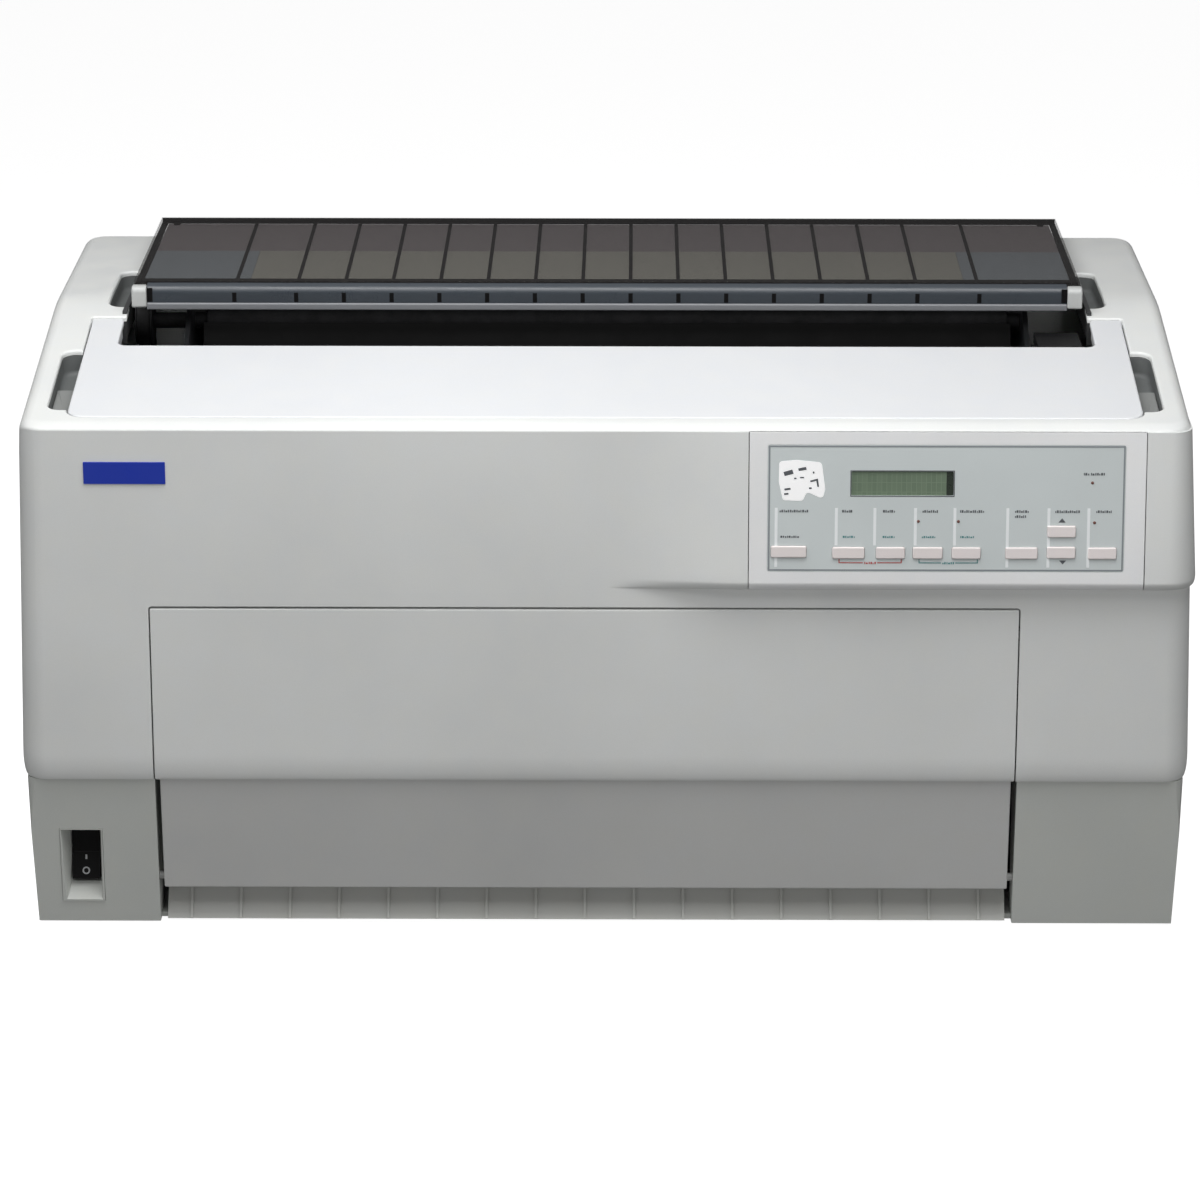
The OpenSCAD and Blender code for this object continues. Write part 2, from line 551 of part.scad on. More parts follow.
// Tractor seen from its pin side: local x across, y out of the pin face, z up; outer edge towards -x
module tractor(h0) difference() {
  union() {
    bx([-12, 0, 0], [12, 38, 70]);
    for (k = [0:4]) translate([0, 1, 9.6 + 12.7 * k]) rotate([90, 0, 0]) cylinder(r = 1.4, h = 3.6);
    for (z = [-3.4, 70.4]) bx([-16.5, -4, z], [-9, 6, z + 3]);
    bx([-14, 2, -3.4], [-9, 8, 73.4]);
  }
  translate([-14, -1.8, -5]) cylinder(r = 1.2 + fit, h = 84);
  cx(25, h0, 7 + fit, -20, 20);
  cx(25, h0 + 36, 5 + fit, -20, 20);
}
module gate() difference() {
  union() {
    bx([-14, -2.8, 0.4], [12, -0.8, 69.6]);
    translate([-14, -1.8, 0.4]) cylinder(r = 1.8, h = 69.2);
    translate([-14, -1.8, -3]) cylinder(r = 1.2, h = 76);
    bx([8, -4.2, 30], [11, -2, 40]);
  }
  bx([-3, -5, 4], [3, 0, 66]);
}
module at_fl() translate([-178, -137, 116]) children();
module at_fr() translate([178, -137, 116]) mirror([1, 0, 0]) children();
module at_rl() translate([-178, 137, 150]) mirror([0, 1, 0]) children();
module at_rr() translate([178, 137, 150]) mirror([0, 1, 0]) mirror([1, 0, 0]) children();
module front_tractor_left() color([0.12, 0.12, 0.13]) at_fl() tractor(18);
module front_tractor_right() color([0.12, 0.12, 0.13]) at_fr() tractor(18);
module rear_tractor_left() color([0.12, 0.12, 0.13]) at_rl() tractor(18);
module rear_tractor_right() color([0.12, 0.12, 0.13]) at_rr() tractor(18);
module front_gate_left() color([0.25, 0.30, 0.45]) at_fl() gate();
module front_gate_right() color([0.25, 0.30, 0.45]) at_fr() gate();
module rear_gate_left() color([0.25, 0.30, 0.45]) at_rl() gate();
module rear_gate_right() color([0.25, 0.30, 0.45]) at_rr() gate();

lower_case();
upper_case();
printer_cover();
eject_cover();
eject_cover_walls();
eject_cover_rail();
rail_end_caps();
front_cover();
rear_cover();
panel_bezel();
panel_overlay();
lcd_window();
led_lenses();
name_plate();
feet();
button_1();
button_2();
button_3();
button_4();
button_5();
button_6();
button_7();
button_8();
button_9();
power_rocker();
power_switch_frame();
control_board();
main_board();
power_supply();
ac_inlet();
interface_ports();
frame_left();
frame_right();
cross_beams();
case_screws();
platen();
guide_shafts();
carriage();
print_head();
ribbon_cartridge();
ribbon_knob();
drive_belts();
motors();
motor_pulley();
idler_pulley();
feed_pinion();
lower_paper_guide();
inner_paper_guides();
exit_guide_plate();
exit_roller();
front_drive_shaft();
rear_drive_shaft();
front_tractor_left();
front_tractor_right();
front_gate_left();
front_gate_right();
rear_tractor_left();
rear_tractor_right();
rear_gate_left();
rear_gate_right();
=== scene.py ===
import math
import random

import bmesh
import bpy
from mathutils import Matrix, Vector


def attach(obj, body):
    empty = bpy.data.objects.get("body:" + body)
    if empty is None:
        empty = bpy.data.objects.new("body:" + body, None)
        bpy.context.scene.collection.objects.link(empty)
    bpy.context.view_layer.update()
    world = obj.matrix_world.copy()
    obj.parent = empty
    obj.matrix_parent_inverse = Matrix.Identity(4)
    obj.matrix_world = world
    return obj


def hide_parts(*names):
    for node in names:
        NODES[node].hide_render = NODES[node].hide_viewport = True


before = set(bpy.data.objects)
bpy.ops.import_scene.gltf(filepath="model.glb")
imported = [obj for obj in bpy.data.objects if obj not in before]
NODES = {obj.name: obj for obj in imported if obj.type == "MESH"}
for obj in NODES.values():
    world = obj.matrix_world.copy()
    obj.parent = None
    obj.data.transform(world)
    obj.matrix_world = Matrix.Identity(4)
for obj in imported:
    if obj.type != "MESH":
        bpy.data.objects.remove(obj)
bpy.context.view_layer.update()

random.seed(7)
MM = 0.001

# ------------------------------------------------------------------ camera
cam_data = bpy.data.cameras.new("camera")
cam = bpy.data.objects.new("camera", cam_data)
bpy.context.scene.collection.objects.link(cam)
cam.location = (0.017, -2.7888, 1.0293)
cam.rotation_euler = (math.radians(90 - 17.4), 0, math.radians(0.435))
cam_data.lens = 138.6
cam_data.sensor_width = 36.0
cam_data.clip_start, cam_data.clip_end = 0.05, 60
bpy.context.scene.camera = cam


# ------------------------------------------------------------------ materials
def lin(c):
    """sRGB 0-255 to linear"""
    return tuple(((v / 255) / 12.92 if v / 255 <= 0.04045 else ((v / 255 + 0.055) / 1.055) ** 2.4) for v in c) + (1.0,)


class Graph:
    def __init__(self, name):
        self.mat = bpy.data.materials.new(name)
        self.mat.use_nodes = True
        self.t = self.mat.node_tree
        self.p = self.t.nodes["Principled BSDF"]
        self.co = self.t.nodes.new("ShaderNodeTexCoord").outputs["Object"]

    def node(self, kind, **kw):
        n = self.t.nodes.new(kind)
        for k, v in kw.items():
            setattr(n, k, v)
        return n

    def link(self, a, b):
        self.t.links.new(a, b)

    def noise(self, scale, detail=3.0, rough=0.5, stretch=None, lo=0.35, hi=0.65):
        """Noise spread to 0..1"""
        n = self.node("ShaderNodeTexNoise")
        n.inputs["Scale"].default_value = scale
        n.inputs["Detail"].default_value = detail
        n.inputs["Roughness"].default_value = rough
        if stretch:
            m = self.node("ShaderNodeMapping")
            m.inputs["Scale"].default_value = stretch
            self.link(self.co, m.inputs["Vector"])
            self.link(m.outputs[0], n.inputs["Vector"])
        else:
            self.link(self.co, n.inputs["Vector"])
        r = self.node("ShaderNodeMapRange")
        r.inputs["From Min"].default_value = lo
        r.inputs["From Max"].default_value = hi
        self.link(n.outputs["Fac"], r.inputs["Value"])
        return r.outputs["Result"]

    def span(self, fac, a, b):
        r = self.node("ShaderNodeMapRange")
        r.inputs["To Min"].default_value = a
        r.inputs["To Max"].default_value = b
        self.link(fac, r.inputs["Value"])
        return r.outputs["Result"]

    def mix(self, fac, a, b):
        n = self.node("ShaderNodeMix", data_type="RGBA")
        if hasattr(fac, "node"):
            self.link(fac, n.inputs[0])
        else:
            n.inputs[0].default_value = fac
        for v, s in ((a, n.inputs[6]), (b, n.inputs[7])):
            if hasattr(v, "node"):
                self.link(v, s)
            else:
                s.default_value = v
        return n.outputs[2]

    def bump(self, *layers):
        """layers: (height socket, depth in mm), chained"""
        last = None
        for h, d in layers:
            b = self.node("ShaderNodeBump")
            b.inputs["Strength"].default_value = 1.0
            b.inputs["Distance"].default_value = d * MM
            self.link(h, b.inputs["Height"])
            if last:
                self.link(last, b.inputs["Normal"])
            last = b.outputs["Normal"]
        self.link(last, self.p.inputs["Normal"])

    def set(self, **kw):
        for k, v in kw.items():
            self.p.inputs[k.replace("_", " ")].default_value = v


def tone(c, k):
    return tuple(min(1.0, v * k) for v in c[:3]) + (1.0,)


def plastic(name, rgb, rough=0.48, grain=0.02, blotch=0.05, spec=0.5, spark=0.6, warm=1.0):
    """Moulded plastic with a fine spark-eroded grain, faint flow marks and handling wear"""
    g = Graph(name)
    c = lin(rgb)
    big = g.noise(6.0, 4.0)
    mid = g.noise(55.0, 3.0)
    fine = g.noise(1900.0, 2.0, lo=0.3, hi=0.7)
    cell = g.node("ShaderNodeTexVoronoi")
    cell.inputs["Scale"].default_value = 1500.0
    g.link(g.co, cell.inputs["Vector"])
    col = g.mix(big, tone(c, 1 - blotch), tone(c, 1 + blotch * 0.6))
    col = g.mix(g.span(mid, 0.0, 0.25), col, (min(1, c[0] * 1.03 * warm), c[1] * 1.01, c[2] * 0.96, 1))
    col = g.mix(g.span(fine, 0.0, 0.10), col, tone(c, 0.72))
    g.link(col, g.p.inputs["Base Color"])
    r1 = g.span(mid, rough - 0.05, rough + 0.05)
    add = g.node("ShaderNodeMath", operation="ADD")
    g.link(r1, add.inputs[0])
    g.link(g.span(fine, -0.04, 0.05), add.inputs[1])
    g.link(add.outputs[0], g.p.inputs["Roughness"])
    g.bump((cell.outputs["Distance"], grain * spark), (fine, grain), (big, grain * 2.0))
    g.set(IOR=1.5, Specular_IOR_Level=spec)
    return g.mat


def wear_and_highlight(name, rgb, rough=0.36, spec=0.5):
    """The rubbed edge of a moulding: a little smoother from handling wear, and lighter in patches as a painted
    highlight along the edge
    """
    g = Graph(name)
    c = lin(rgb)
    patch = g.noise(35.0, 5.0, 0.6, lo=0.42, hi=0.62)
    fine = g.noise(900.0, 2.0)
    col = g.mix(patch, tone(c, 0.98), tone(c, 1.12))
    g.link(col, g.p.inputs["Base Color"])
    g.link(g.span(patch, rough + 0.10, rough - 0.06), g.p.inputs["Roughness"])
    g.bump((fine, 0.008))
    g.set(IOR=1.5, Specular_IOR_Level=spec)
    return g.mat


def metal(name, rgb, rough=0.3, stretch=(1, 60, 60), scratch=0.006, tint=0.06):
    """Machined or rolled metal with drawn lines"""
    g = Graph(name)
    c = lin(rgb)
    lines = g.noise(40.0, 5.0, 0.65, stretch=stretch, lo=0.3, hi=0.7)
    big = g.noise(9.0, 3.0)
    col = g.mix(lines, tone(c, 1 - tint), tone(c, 1 + tint))
    col = g.mix(g.span(big, 0.0, 0.25), col, tone(c, 0.85))
    g.link(col, g.p.inputs["Base Color"])
    g.link(g.span(lines, rough - 0.07, rough + 0.09), g.p.inputs["Roughness"])
    g.bump((lines, scratch))
    g.set(Metallic=1.0)
    return g.mat


def rubber(name, rgb, rough=0.78):
    g = Graph(name)
    c = lin(rgb)
    a = g.noise(120.0, 4.0)
    b = g.noise(1400.0, 2.0)
    g.link(g.mix(a, tone(c, 0.8), tone(c, 1.35)), g.p.inputs["Base Color"])
    g.link(g.span(b, rough - 0.08, rough + 0.1), g.p.inputs["Roughness"])
    g.bump((b, 0.03), (a, 0.05))
    g.set(Specular_IOR_Level=0.3)
    return g.mat


def smoked(name, rgb, alpha, rough):
    """Tinted clear plastic: faint scratches and dust over a smooth gloss"""
    g = Graph(name)
    c = lin(rgb)
    dust = g.noise(420.0, 4.0, 0.7, lo=0.5, hi=0.75)
    hair = g.noise(30.0, 6.0, 0.75, stretch=(2.0, 70.0, 30.0), lo=0.55, hi=0.72)
    wave = g.noise(14.0, 2.0)
    g.link(g.mix(g.span(dust, 0.0, 0.25), c, lin((120, 116, 112))), g.p.inputs["Base Color"])
    g.link(g.span(hair, rough, rough + 0.12), g.p.inputs["Roughness"])
    g.bump((hair, 0.002), (wave, 0.05))
    g.set(IOR=1.5, Specular_IOR_Level=0.5, Alpha=alpha)
    g.mat.blend_method = "BLEND" if hasattr(g.mat, "blend_method") else None
    return g.mat


def board(name):
    g = Graph(name)
    cell = g.node("ShaderNodeTexVoronoi", feature="DISTANCE_TO_EDGE")
    cell.inputs["Scale"].default_value = 160.0
    g.link(g.co, cell.inputs["Vector"])
    step = g.node("ShaderNodeMapRange")
    step.inputs["From Min"].default_value = 0.02
    step.inputs["From Max"].default_value = 0.06
    g.link(cell.outputs["Distance"], step.inputs["Value"])
    g.link(g.mix(step.outputs[0], lin((88, 140, 84)), lin((34, 84, 52))), g.p.inputs["Base Color"])
    g.link(g.span(step.outputs[0], 0.5, 0.3), g.p.inputs["Roughness"])
    g.bump((step.outputs[0], 0.03))
    return g.mat


def film(name, rgb, rough=0.42):
    """Printed overlay film with a fine matt grain"""
    g = Graph(name)
    c = lin(rgb)
    fine = g.noise(2600.0, 2.0)
    big = g.noise(10.0, 3.0)
    col = g.mix(big, tone(c, 0.97), tone(c, 1.03))
    col = g.mix(g.span(fine, 0.0, 0.08), col, tone(c, 0.8))
    g.link(col, g.p.inputs["Base Color"])
    g.link(g.span(fine, rough - 0.05, rough + 0.07), g.p.inputs["Roughness"])
    g.bump((fine, 0.006), (big, 0.02))
    return g.mat


def lcd_glass(name):
    """Display glass with faint rows of character cells under it"""
    g = Graph(name)
    brick = g.node("ShaderNodeTexBrick")
    brick.offset = 0.0
    brick.inputs["Scale"].default_value = 1.0
    brick.inputs["Brick Width"].default_value = 0.0029
    brick.inputs["Row Height"].default_value = 0.0056
    brick.inputs["Mortar Size"].default_value = 0.00016
    brick.inputs["Mortar Smooth"].default_value = 0.3
    brick.inputs["Color1"].default_value = lin((116, 133, 112))
    brick.inputs["Color2"].default_value = lin((110, 127, 107))
    brick.inputs["Mortar"].default_value = lin((126, 143, 122))
    sep = g.node("ShaderNodeSeparateXYZ")
    com = g.node("ShaderNodeCombineXYZ")
    g.link(g.co, sep.inputs[0])
    g.link(sep.outputs[0], com.inputs[0])
    g.link(sep.outputs[2], com.inputs[1])
    g.link(com.outputs[0], brick.inputs["Vector"])
    big = g.noise(25.0, 2.0)
    g.link(g.mix(g.span(big, 0, 0.15), brick.outputs["Color"], lin((96, 114, 96))), g.p.inputs["Base Color"])
    g.link(g.span(big, 0.18, 0.28), g.p.inputs["Roughness"])
    g.bump((big, 0.01))
    g.set(Specular_IOR_Level=0.5)
    return g.mat


M = {
    "case_top": plastic("case_top", (232, 234, 233), 0.46, 0.020),
    "case_top_edge": wear_and_highlight("case_top_edge", (236, 238, 237)),
    "case_base": plastic("case_base", (207, 210, 206), 0.5, 0.022),
    "case_base_edge": wear_and_highlight("case_base_edge", (212, 214, 211)),
    "door_low": plastic("door_low", (207, 208, 207), 0.5, 0.022),
    # painted shade: the case plastic darkened for the inside of the finger hollows, lighter on the step that catches
    # more light, and darkest on the inner walls
    "hollow_shade": plastic("hollow_shade", (106, 109, 109), 0.6, 0.02),
    "hollow_step_shade": plastic("hollow_step_shade", (132, 134, 133), 0.55, 0.02),
    "cover_white": plastic("cover_white", (229, 231, 234), 0.42, 0.016, blotch=0.02),
    "cover_white_edge": wear_and_highlight("cover_white_edge", (234, 236, 238)),
    "cap_white": plastic("cap_white", (192, 194, 193), 0.4, 0.014, blotch=0.02),
    "case_rear": plastic("case_rear", (214, 215, 212), 0.5, 0.022),
    "smoke": smoked("smoke", (34, 31, 31), 0.38, 0.10),
    "smoke_front": plastic("smoke_front", (58, 64, 71), 0.33, 0.004, blotch=0.08),
    "smoke_rib": plastic("smoke_rib", (10, 9, 10), 0.5, 0.01, spec=0.2),
    # painted light: sheets under the smoked plate, coloured as the lit parts seen through it
    "view_painted_rear": smoked("view_painted_rear", (198, 188, 189), 0.9, 0.45),
    "view_painted_middle": smoked("view_painted_middle", (236, 233, 220), 0.85, 0.45),
    "view_painted_ends": smoked("view_painted_ends", (214, 222, 228), 0.82, 0.45),
    "inner_wall_shade": plastic("inner_wall_shade", (58, 59, 60), 0.6, 0.02),
    "rail": plastic("rail", (124, 126, 130), 0.36, 0.012, blotch=0.03),
    "overlay": film("overlay", (212, 219, 219)),
    # painted light: the bezel is lighter than the case plastic for the extra light its tilted face catches
    "bezel": plastic("bezel", (245, 246, 247), 0.45, 0.018),
    "lcd": lcd_glass("lcd"),
    "lcd_dark": plastic("lcd_dark", (52, 60, 52), 0.3, 0.006),
    "led": plastic("led", (122, 84, 76), 0.3, 0.004),
    "badge": plastic("badge", (33, 59, 178), 0.35, 0.006, blotch=0.06),
    "ink_dark": film("ink_dark", (92, 96, 100)),
    "ink_mid": film("ink_mid", (140, 146, 150)),
    "ink_white": film("ink_white", (236, 240, 241)),
    "patch_white": film("patch_white", (255, 255, 255)),
    "ink_teal": film("ink_teal", (78, 140, 142)),
    "ink_red": film("ink_red", (186, 78, 74)),
    "foot_rubber": rubber("foot_rubber", (34, 34, 35)),
    "button": plastic("button", (243, 235, 234), 0.4, 0.01),
    "button_edge": wear_and_highlight("button_edge", (232, 226, 224)),
    "black_plastic": plastic("black_plastic", (26, 26, 28), 0.45, 0.014, blotch=0.12),
    "switch_black": plastic("switch_black", (9, 9, 10), 0.5, 0.01, spec=0.25),
    "black_edge": wear_and_highlight("black_edge", (46, 46, 49)),
    "mark": film("mark", (178, 180, 182)),
    "guide_grey": plastic("guide_grey", (196, 197, 193), 0.5, 0.02),
    "exit_plate": plastic("exit_plate", (206, 198, 178), 0.5, 0.02),
    "gate_blue": plastic("gate_blue", (70, 84, 118), 0.42, 0.014),
    "circuit_board": board("circuit_board"),
    "sheet_steel": metal("sheet_steel", (186, 188, 190), 0.34, (2, 2, 50)),
    "ground_steel": metal("ground_steel", (205, 207, 210), 0.16, (1, 70, 70), 0.002),
    "platen_metal": metal("platen_metal", (92, 94, 97), 0.4, (1, 60, 60)),
    "head_metal": metal("head_metal", (150, 152, 156), 0.42, (30, 30, 2)),
    "motor_black": plastic("motor_black", (44, 44, 47), 0.5, 0.03, blotch=0.1),
    "belt_rubber": rubber("belt_rubber", (26, 26, 27), 0.7),
    "roller_rubber": rubber("roller_rubber", (38, 38, 40), 0.66),
    "nylon": plastic("nylon", (214, 206, 180), 0.38, 0.01),
}


# painted glow: the white patch and the white print give off a faint light of their own, so they read brighter than the
# light falling on them
for key, k in (("patch_white", 0.16), ("ink_white", 0.06)):
    painted_glow = M[key].node_tree.nodes["Principled BSDF"].inputs
    painted_glow["Emission Color"].default_value = (1, 1, 1, 1)
    painted_glow["Emission Strength"].default_value = k


# ------------------------------------------------------------------ mesh tools
def rrect(x0, x1, y0, y1, r, n=6):
    """Rounded rectangle, counter-clockwise. r is one radius, or four: x0y0, x1y0, x1y1, x0y1"""
    rs = (r,) * 4 if not isinstance(r, (tuple, list)) else r
    out = []
    for (cx, cy, sx, sy, a0), q in zip(((x0, y0, 1, 1, 180), (x1, y0, -1, 1, 270), (x1, y1, -1, -1, 0), (x0, y1, 1, -1, 90)), rs):
        if q <= 0:
            out.append((cx, cy))
            continue
        for k in range(n + 1):
            a = math.radians(a0 + 90 * k / n)
            out.append((cx + sx * q + q * math.cos(a), cy + sy * q + q * math.sin(a)))
    return out


def cut_long(pts, longest):
    """The same outline with its long edges divided"""
    out = []
    for i, p in enumerate(pts):
        q = pts[(i + 1) % len(pts)]
        k = max(1, math.ceil(math.dist(p, q) / longest))
        out += [(p[0] + (q[0] - p[0]) * j / k, p[1] + (q[1] - p[1]) * j / k) for j in range(k)]
    return out


def inset(pts, d):
    if abs(d) < 1e-9:
        return list(pts)
    out = []
    for i, p in enumerate(pts):
        a, b = pts[i - 1], pts[(i + 1) % len(pts)]
        e1, e2 = Vector((p[0] - a[0], p[1] - a[1])).normalized(), Vector((b[0] - p[0], b[1] - p[1])).normalized()
        n1, n2 = Vector((-e1.y, e1.x)), Vector((-e2.y, e2.x))
        m = n1 + n2
        m = m / max(1 + n1.dot(n2), 0.25)
        out.append((p[0] + m.x * d, p[1] + m.y * d))
    return out


def rounded(pts, radii, n=4):
    """Polygon with its corners rounded; radii is one number or one per corner"""
    out = []
    for i, p in enumerate(pts):
        r = radii[i] if isinstance(radii, (tuple, list)) else radii
        a, b = Vector(pts[i - 1]), Vector(pts[(i + 1) % len(pts)])
        v = Vector(p)
        if r <= 0:
            out.append(p)
            continue
        u, w = (a - v).normalized(), (b - v).normalized()
        half = math.acos(max(-1, min(1, u.dot(w)))) / 2
        if half > math.radians(89):
            out.append(p)
            continue
        t = r / math.tan(half)
        t = min(t, (a - v).length * 0.49, (b - v).length * 0.49)
        r2 = t * math.tan(half)
        c = v + (u + w).normalized() * (r2 / math.sin(half))
        s, e = v + u * t, v + w * t
        a0 = math.atan2(s.y - c.y, s.x - c.x)
        a1 = math.atan2(e.y - c.y, e.x - c.x)
        d = (a1 - a0 + math.pi) % (2 * math.pi) - math.pi
        for k in range(n + 1):
            q = a0 + d * k / n
            out.append((c.x + r2 * math.cos(q), c.y + r2 * math.sin(q)))
    return out


def flat(u, v, w):
    return (u, v, w)


class Geo:
    def __init__(self):
        self.v, self.f = [], []

    def add(self, verts, faces):
        k = len(self.v)
        self.v += verts
        self.f += [tuple(i + k for i in f) for f in faces]
        return self

    def loft(self, rings, cap=True):
        """Closed skin through rings of equal length, counter-clockwise as seen from the last one"""
        n = len(rings[0])
        verts = [p for r in rings for p in r]
        faces = []
        for k in range(len(rings) - 1):
            for i in range(n):
                j = (i + 1) % n
                faces.append((k * n + i, k * n + j, (k + 1) * n + j, (k + 1) * n + i))
        if cap:
            faces.append(tuple(range(n - 1, -1, -1)))
            faces.append(tuple((len(rings) - 1) * n + i for i in range(n)))
        return self.add(verts, faces)

    def slab(self, pts, w0, w1, f0=0.0, f1=0.0, m=flat, n=3):
        """Plate of outline pts from w0 to w1, edges rounded by f0 below and f1 above"""
        lv = []
        if f0 > 0:
            lv += [(w0 + f0 * (1 - math.cos(math.radians(90 * k / n))), f0 * (1 - math.sin(math.radians(90 * k / n)))) for k in range(n + 1)]
        else:
            lv.append((w0, 0.0))
        if f1 > 0:
            lv += [(w1 - f1 * (1 - math.sin(math.radians(90 * k / n))), f1 * (1 - math.cos(math.radians(90 * k / n)))) for k in range(n + 1)]
        else:
            lv.append((w1, 0.0))
        return self.loft([[m(p[0], p[1], w) for p in inset(pts, d)] for w, d in lv])

    def flare(self, pts, low, f, m=flat, n=3, over=1.0, top=0.0):
        """Cutter for an opening with a rounded lip of radius f at height top"""
        lv = [(low, 0.0), (top - f, 0.0)]
        for k in range(1, n + 1):
            a = math.radians(72 * k / n)
            lv.append((top - f + f * math.sin(a), -f * (1 - math.cos(a))))
        d = over + 0.049 * f
        lv.append((top + over, lv[-1][1] - d * math.tan(math.radians(72))))
        return self.loft([[m(p[0], p[1], w) for p in inset(pts, q)] for w, q in lv])

    def box(self, a, b, m=flat):
        return self.loft([[m(x, y, z) for x, y in ((a[0], a[1]), (b[0], a[1]), (b[0], b[1]), (a[0], b[1]))] for z in (a[2], b[2])])

    def cyl(self, axis, p, r, a, b, n=32, r2=None):
        """Cylinder along x, y or z at p (the two other coordinates), from a to b"""
        rings = []
        for t, q in ((a, r), (b, r if r2 is None else r2)):
            ring = []
            for k in range(n):
                c, s = q * math.cos(2 * math.pi * k / n), q * math.sin(2 * math.pi * k / n)
                ring.append({"x": (t, p[0] + c, p[1] + s), "y": (p[0] + s, t, p[1] + c), "z": (p[0] + c, p[1] + s, t)}[axis])
            rings.append(ring)
        return self.loft(rings)

    def obj(self, name, *mats):
        me = bpy.data.meshes.new(name)
        me.from_pydata([(x * MM, y * MM, z * MM) for x, y, z in self.v], [], self.f)
        o = bpy.data.objects.new(name, me)
        bpy.context.scene.collection.objects.link(o)
        bm = bmesh.new()
        bm.from_mesh(me)
        bmesh.ops.recalc_face_normals(bm, faces=bm.faces)
        bm.to_mesh(me)
        bm.free()
        for m in mats:
            me.materials.append(M[m])
        return o


def baked(o):
    """Applies every modifier of a piece of this script"""
    dg = bpy.context.evaluated_depsgraph_get()
    dg.update()
    me = bpy.data.meshes.new_from_object(o.evaluated_get(dg), depsgraph=dg)
    old = o.data
    o.modifiers.clear()
    o.data = me
    bpy.data.meshes.remove(old)
    return o


def csg(o, cutters, op="DIFFERENCE"):
    for c in cutters:
        m = o.modifiers.new("cut", "BOOLEAN")
        m.operation, m.object, m.solver = op, c, "EXACT"
    baked(o)
    for c in cutters:
        me = c.data
        bpy.data.objects.remove(c)
        bpy.data.meshes.remove(me)
    return o


def clean(o, angle=0.15, merge=0.002):
    bm = bmesh.new()
    bm.from_mesh(o.data)
    bmesh.ops.remove_doubles(bm, verts=bm.verts, dist=merge * MM)
    bmesh.ops.dissolve_degenerate(bm, edges=bm.edges, dist=0.001 * MM)
    bmesh.ops.dissolve_limit(bm, angle_limit=math.radians(angle), verts=bm.verts, edges=bm.edges)
    bm.to_mesh(o.data)
    bm.free()
    return o


def bevel(o, width, seg=2, angle=40, edge_mat=-1, where=None):
    """Rounds the edges sharper than angle; where(midpoint in mm) may choose among them"""
    bm = bmesh.new()
    bm.from_mesh(o.data)
    pick = []
    for e in bm.edges:
        if len(e.link_faces) == 2 and e.calc_face_angle(0) > math.radians(angle) and e.calc_length() > 0.0002:
            mid = (e.verts[0].co + e.verts[1].co) / 2 / MM
            if where is None or where(mid):
                pick.append(e)
    before = set(f.index for f in bm.faces)
    bmesh.ops.bevel(bm, geom=pick, offset=width * MM, offset_type="OFFSET", segments=seg, profile=0.5, affect="EDGES",
                    clamp_overlap=True, material=edge_mat)
    bmesh.ops.remove_doubles(bm, verts=bm.verts, dist=0.001 * MM)
    bmesh.ops.dissolve_degenerate(bm, edges=bm.edges, dist=0.0005 * MM)
    bm.to_mesh(o.data)
    bm.free()
    return o


def smooth(o, angle=32):
    o.data.polygons.foreach_set("use_smooth", [True] * len(o.data.polygons))
    o.data.set_sharp_from_angle(angle=math.radians(angle))
    m = o.modifiers.new("normals", "WEIGHTED_NORMAL")
    m.keep_sharp = True
    m.weight = 80
    return o


def put(o, body, slot, *nodes, angle=32):
    smooth(o, angle)
    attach(o, body)
    if nodes:
        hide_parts(*nodes)
    return o


def cad_copy(node, name, *mats):
    """A new piece from a CAD node's shape, welded and with its flat faces whole"""
    me = NODES[node].data.copy()
    me.name = name
    o = bpy.data.objects.new(name, me)
    bpy.context.scene.collection.objects.link(o)
    for a in ("custom_normal", "sharp_edge", "sharp_face"):
        if a in me.attributes:
            me.attributes.remove(me.attributes[a])
    while me.uv_layers:
        me.uv_layers.remove(me.uv_layers[0])
    me.materials.clear()
    for m in mats:
        me.materials.append(M[m])
    bm = bmesh.new()
    bm.from_mesh(me)
    for f in bm.faces:
        f.material_index = 0
    bmesh.ops.remove_doubles(bm, verts=bm.verts, dist=0.004 * MM)
    bmesh.ops.dissolve_degenerate(bm, edges=bm.edges, dist=0.001 * MM)
    bmesh.ops.dissolve_limit(bm, angle_limit=math.radians(0.6), verts=bm.verts, edges=bm.edges)
    bm.to_mesh(me)
    bm.free()
    return o


def soften(node, mat, width=0.4, seg=2, angle=38):
    """Keeps a CAD node, with its edges rounded by modifiers and a finish of its own"""
    o = NODES[node]
    o.data.materials.clear()
    o.data.materials.append(M[mat])
    w = o.modifiers.new("weld", "WELD")
    w.merge_threshold = 0.004 * MM
    d = o.modifiers.new("plan", "DECIMATE")
    d.decimate_type, d.angle_limit = "DISSOLVE", math.radians(0.8)
    if width > 0:
        b = o.modifiers.new("edge", "BEVEL")
        b.width, b.segments, b.limit_method, b.angle_limit = width * MM, seg, "ANGLE", math.radians(angle)
        b.use_clamp_overlap = True
    n = o.modifiers.new("normals", "WEIGHTED_NORMAL")
    n.keep_sharp = False
    return o


# ------------------------------------------------------------------ housing shapes
TOP = ((-174.0, 319.6), (4.0, 345.9), (18.0, 347.5), (32.0, 348.0), (200.0, 348.0))


def ztop(y):
    """Height of the top of the case at depth y"""
    if y <= TOP[0][0]:
        return TOP[0][1] + (y - TOP[0][0]) * 0.14775
    for (a, za), (b, zb) in zip(TOP, TOP[1:]):
        if y <= b:
            return za + (zb - za) * (y - a) / (b - a)
    return TOP[-1][1]


def zslope(y):
    return 319.6 + (y + 174) * 0.1477


def on_top(u, v, w):
    return (u, v, ztop(v) + w)


def on_slope(u, v, w):
    return (u, v, zslope(v) + w)


def half_w(z):
    return 350.0 - 5.0 * (z - 98.0) / 208.0


YB = (-150, -120, -90, -60, -30, -12, 4, 18, 32, 60, 100, 140)
XB = (-300, -200, -100, -20, 0, 40, 84, 200, 300)


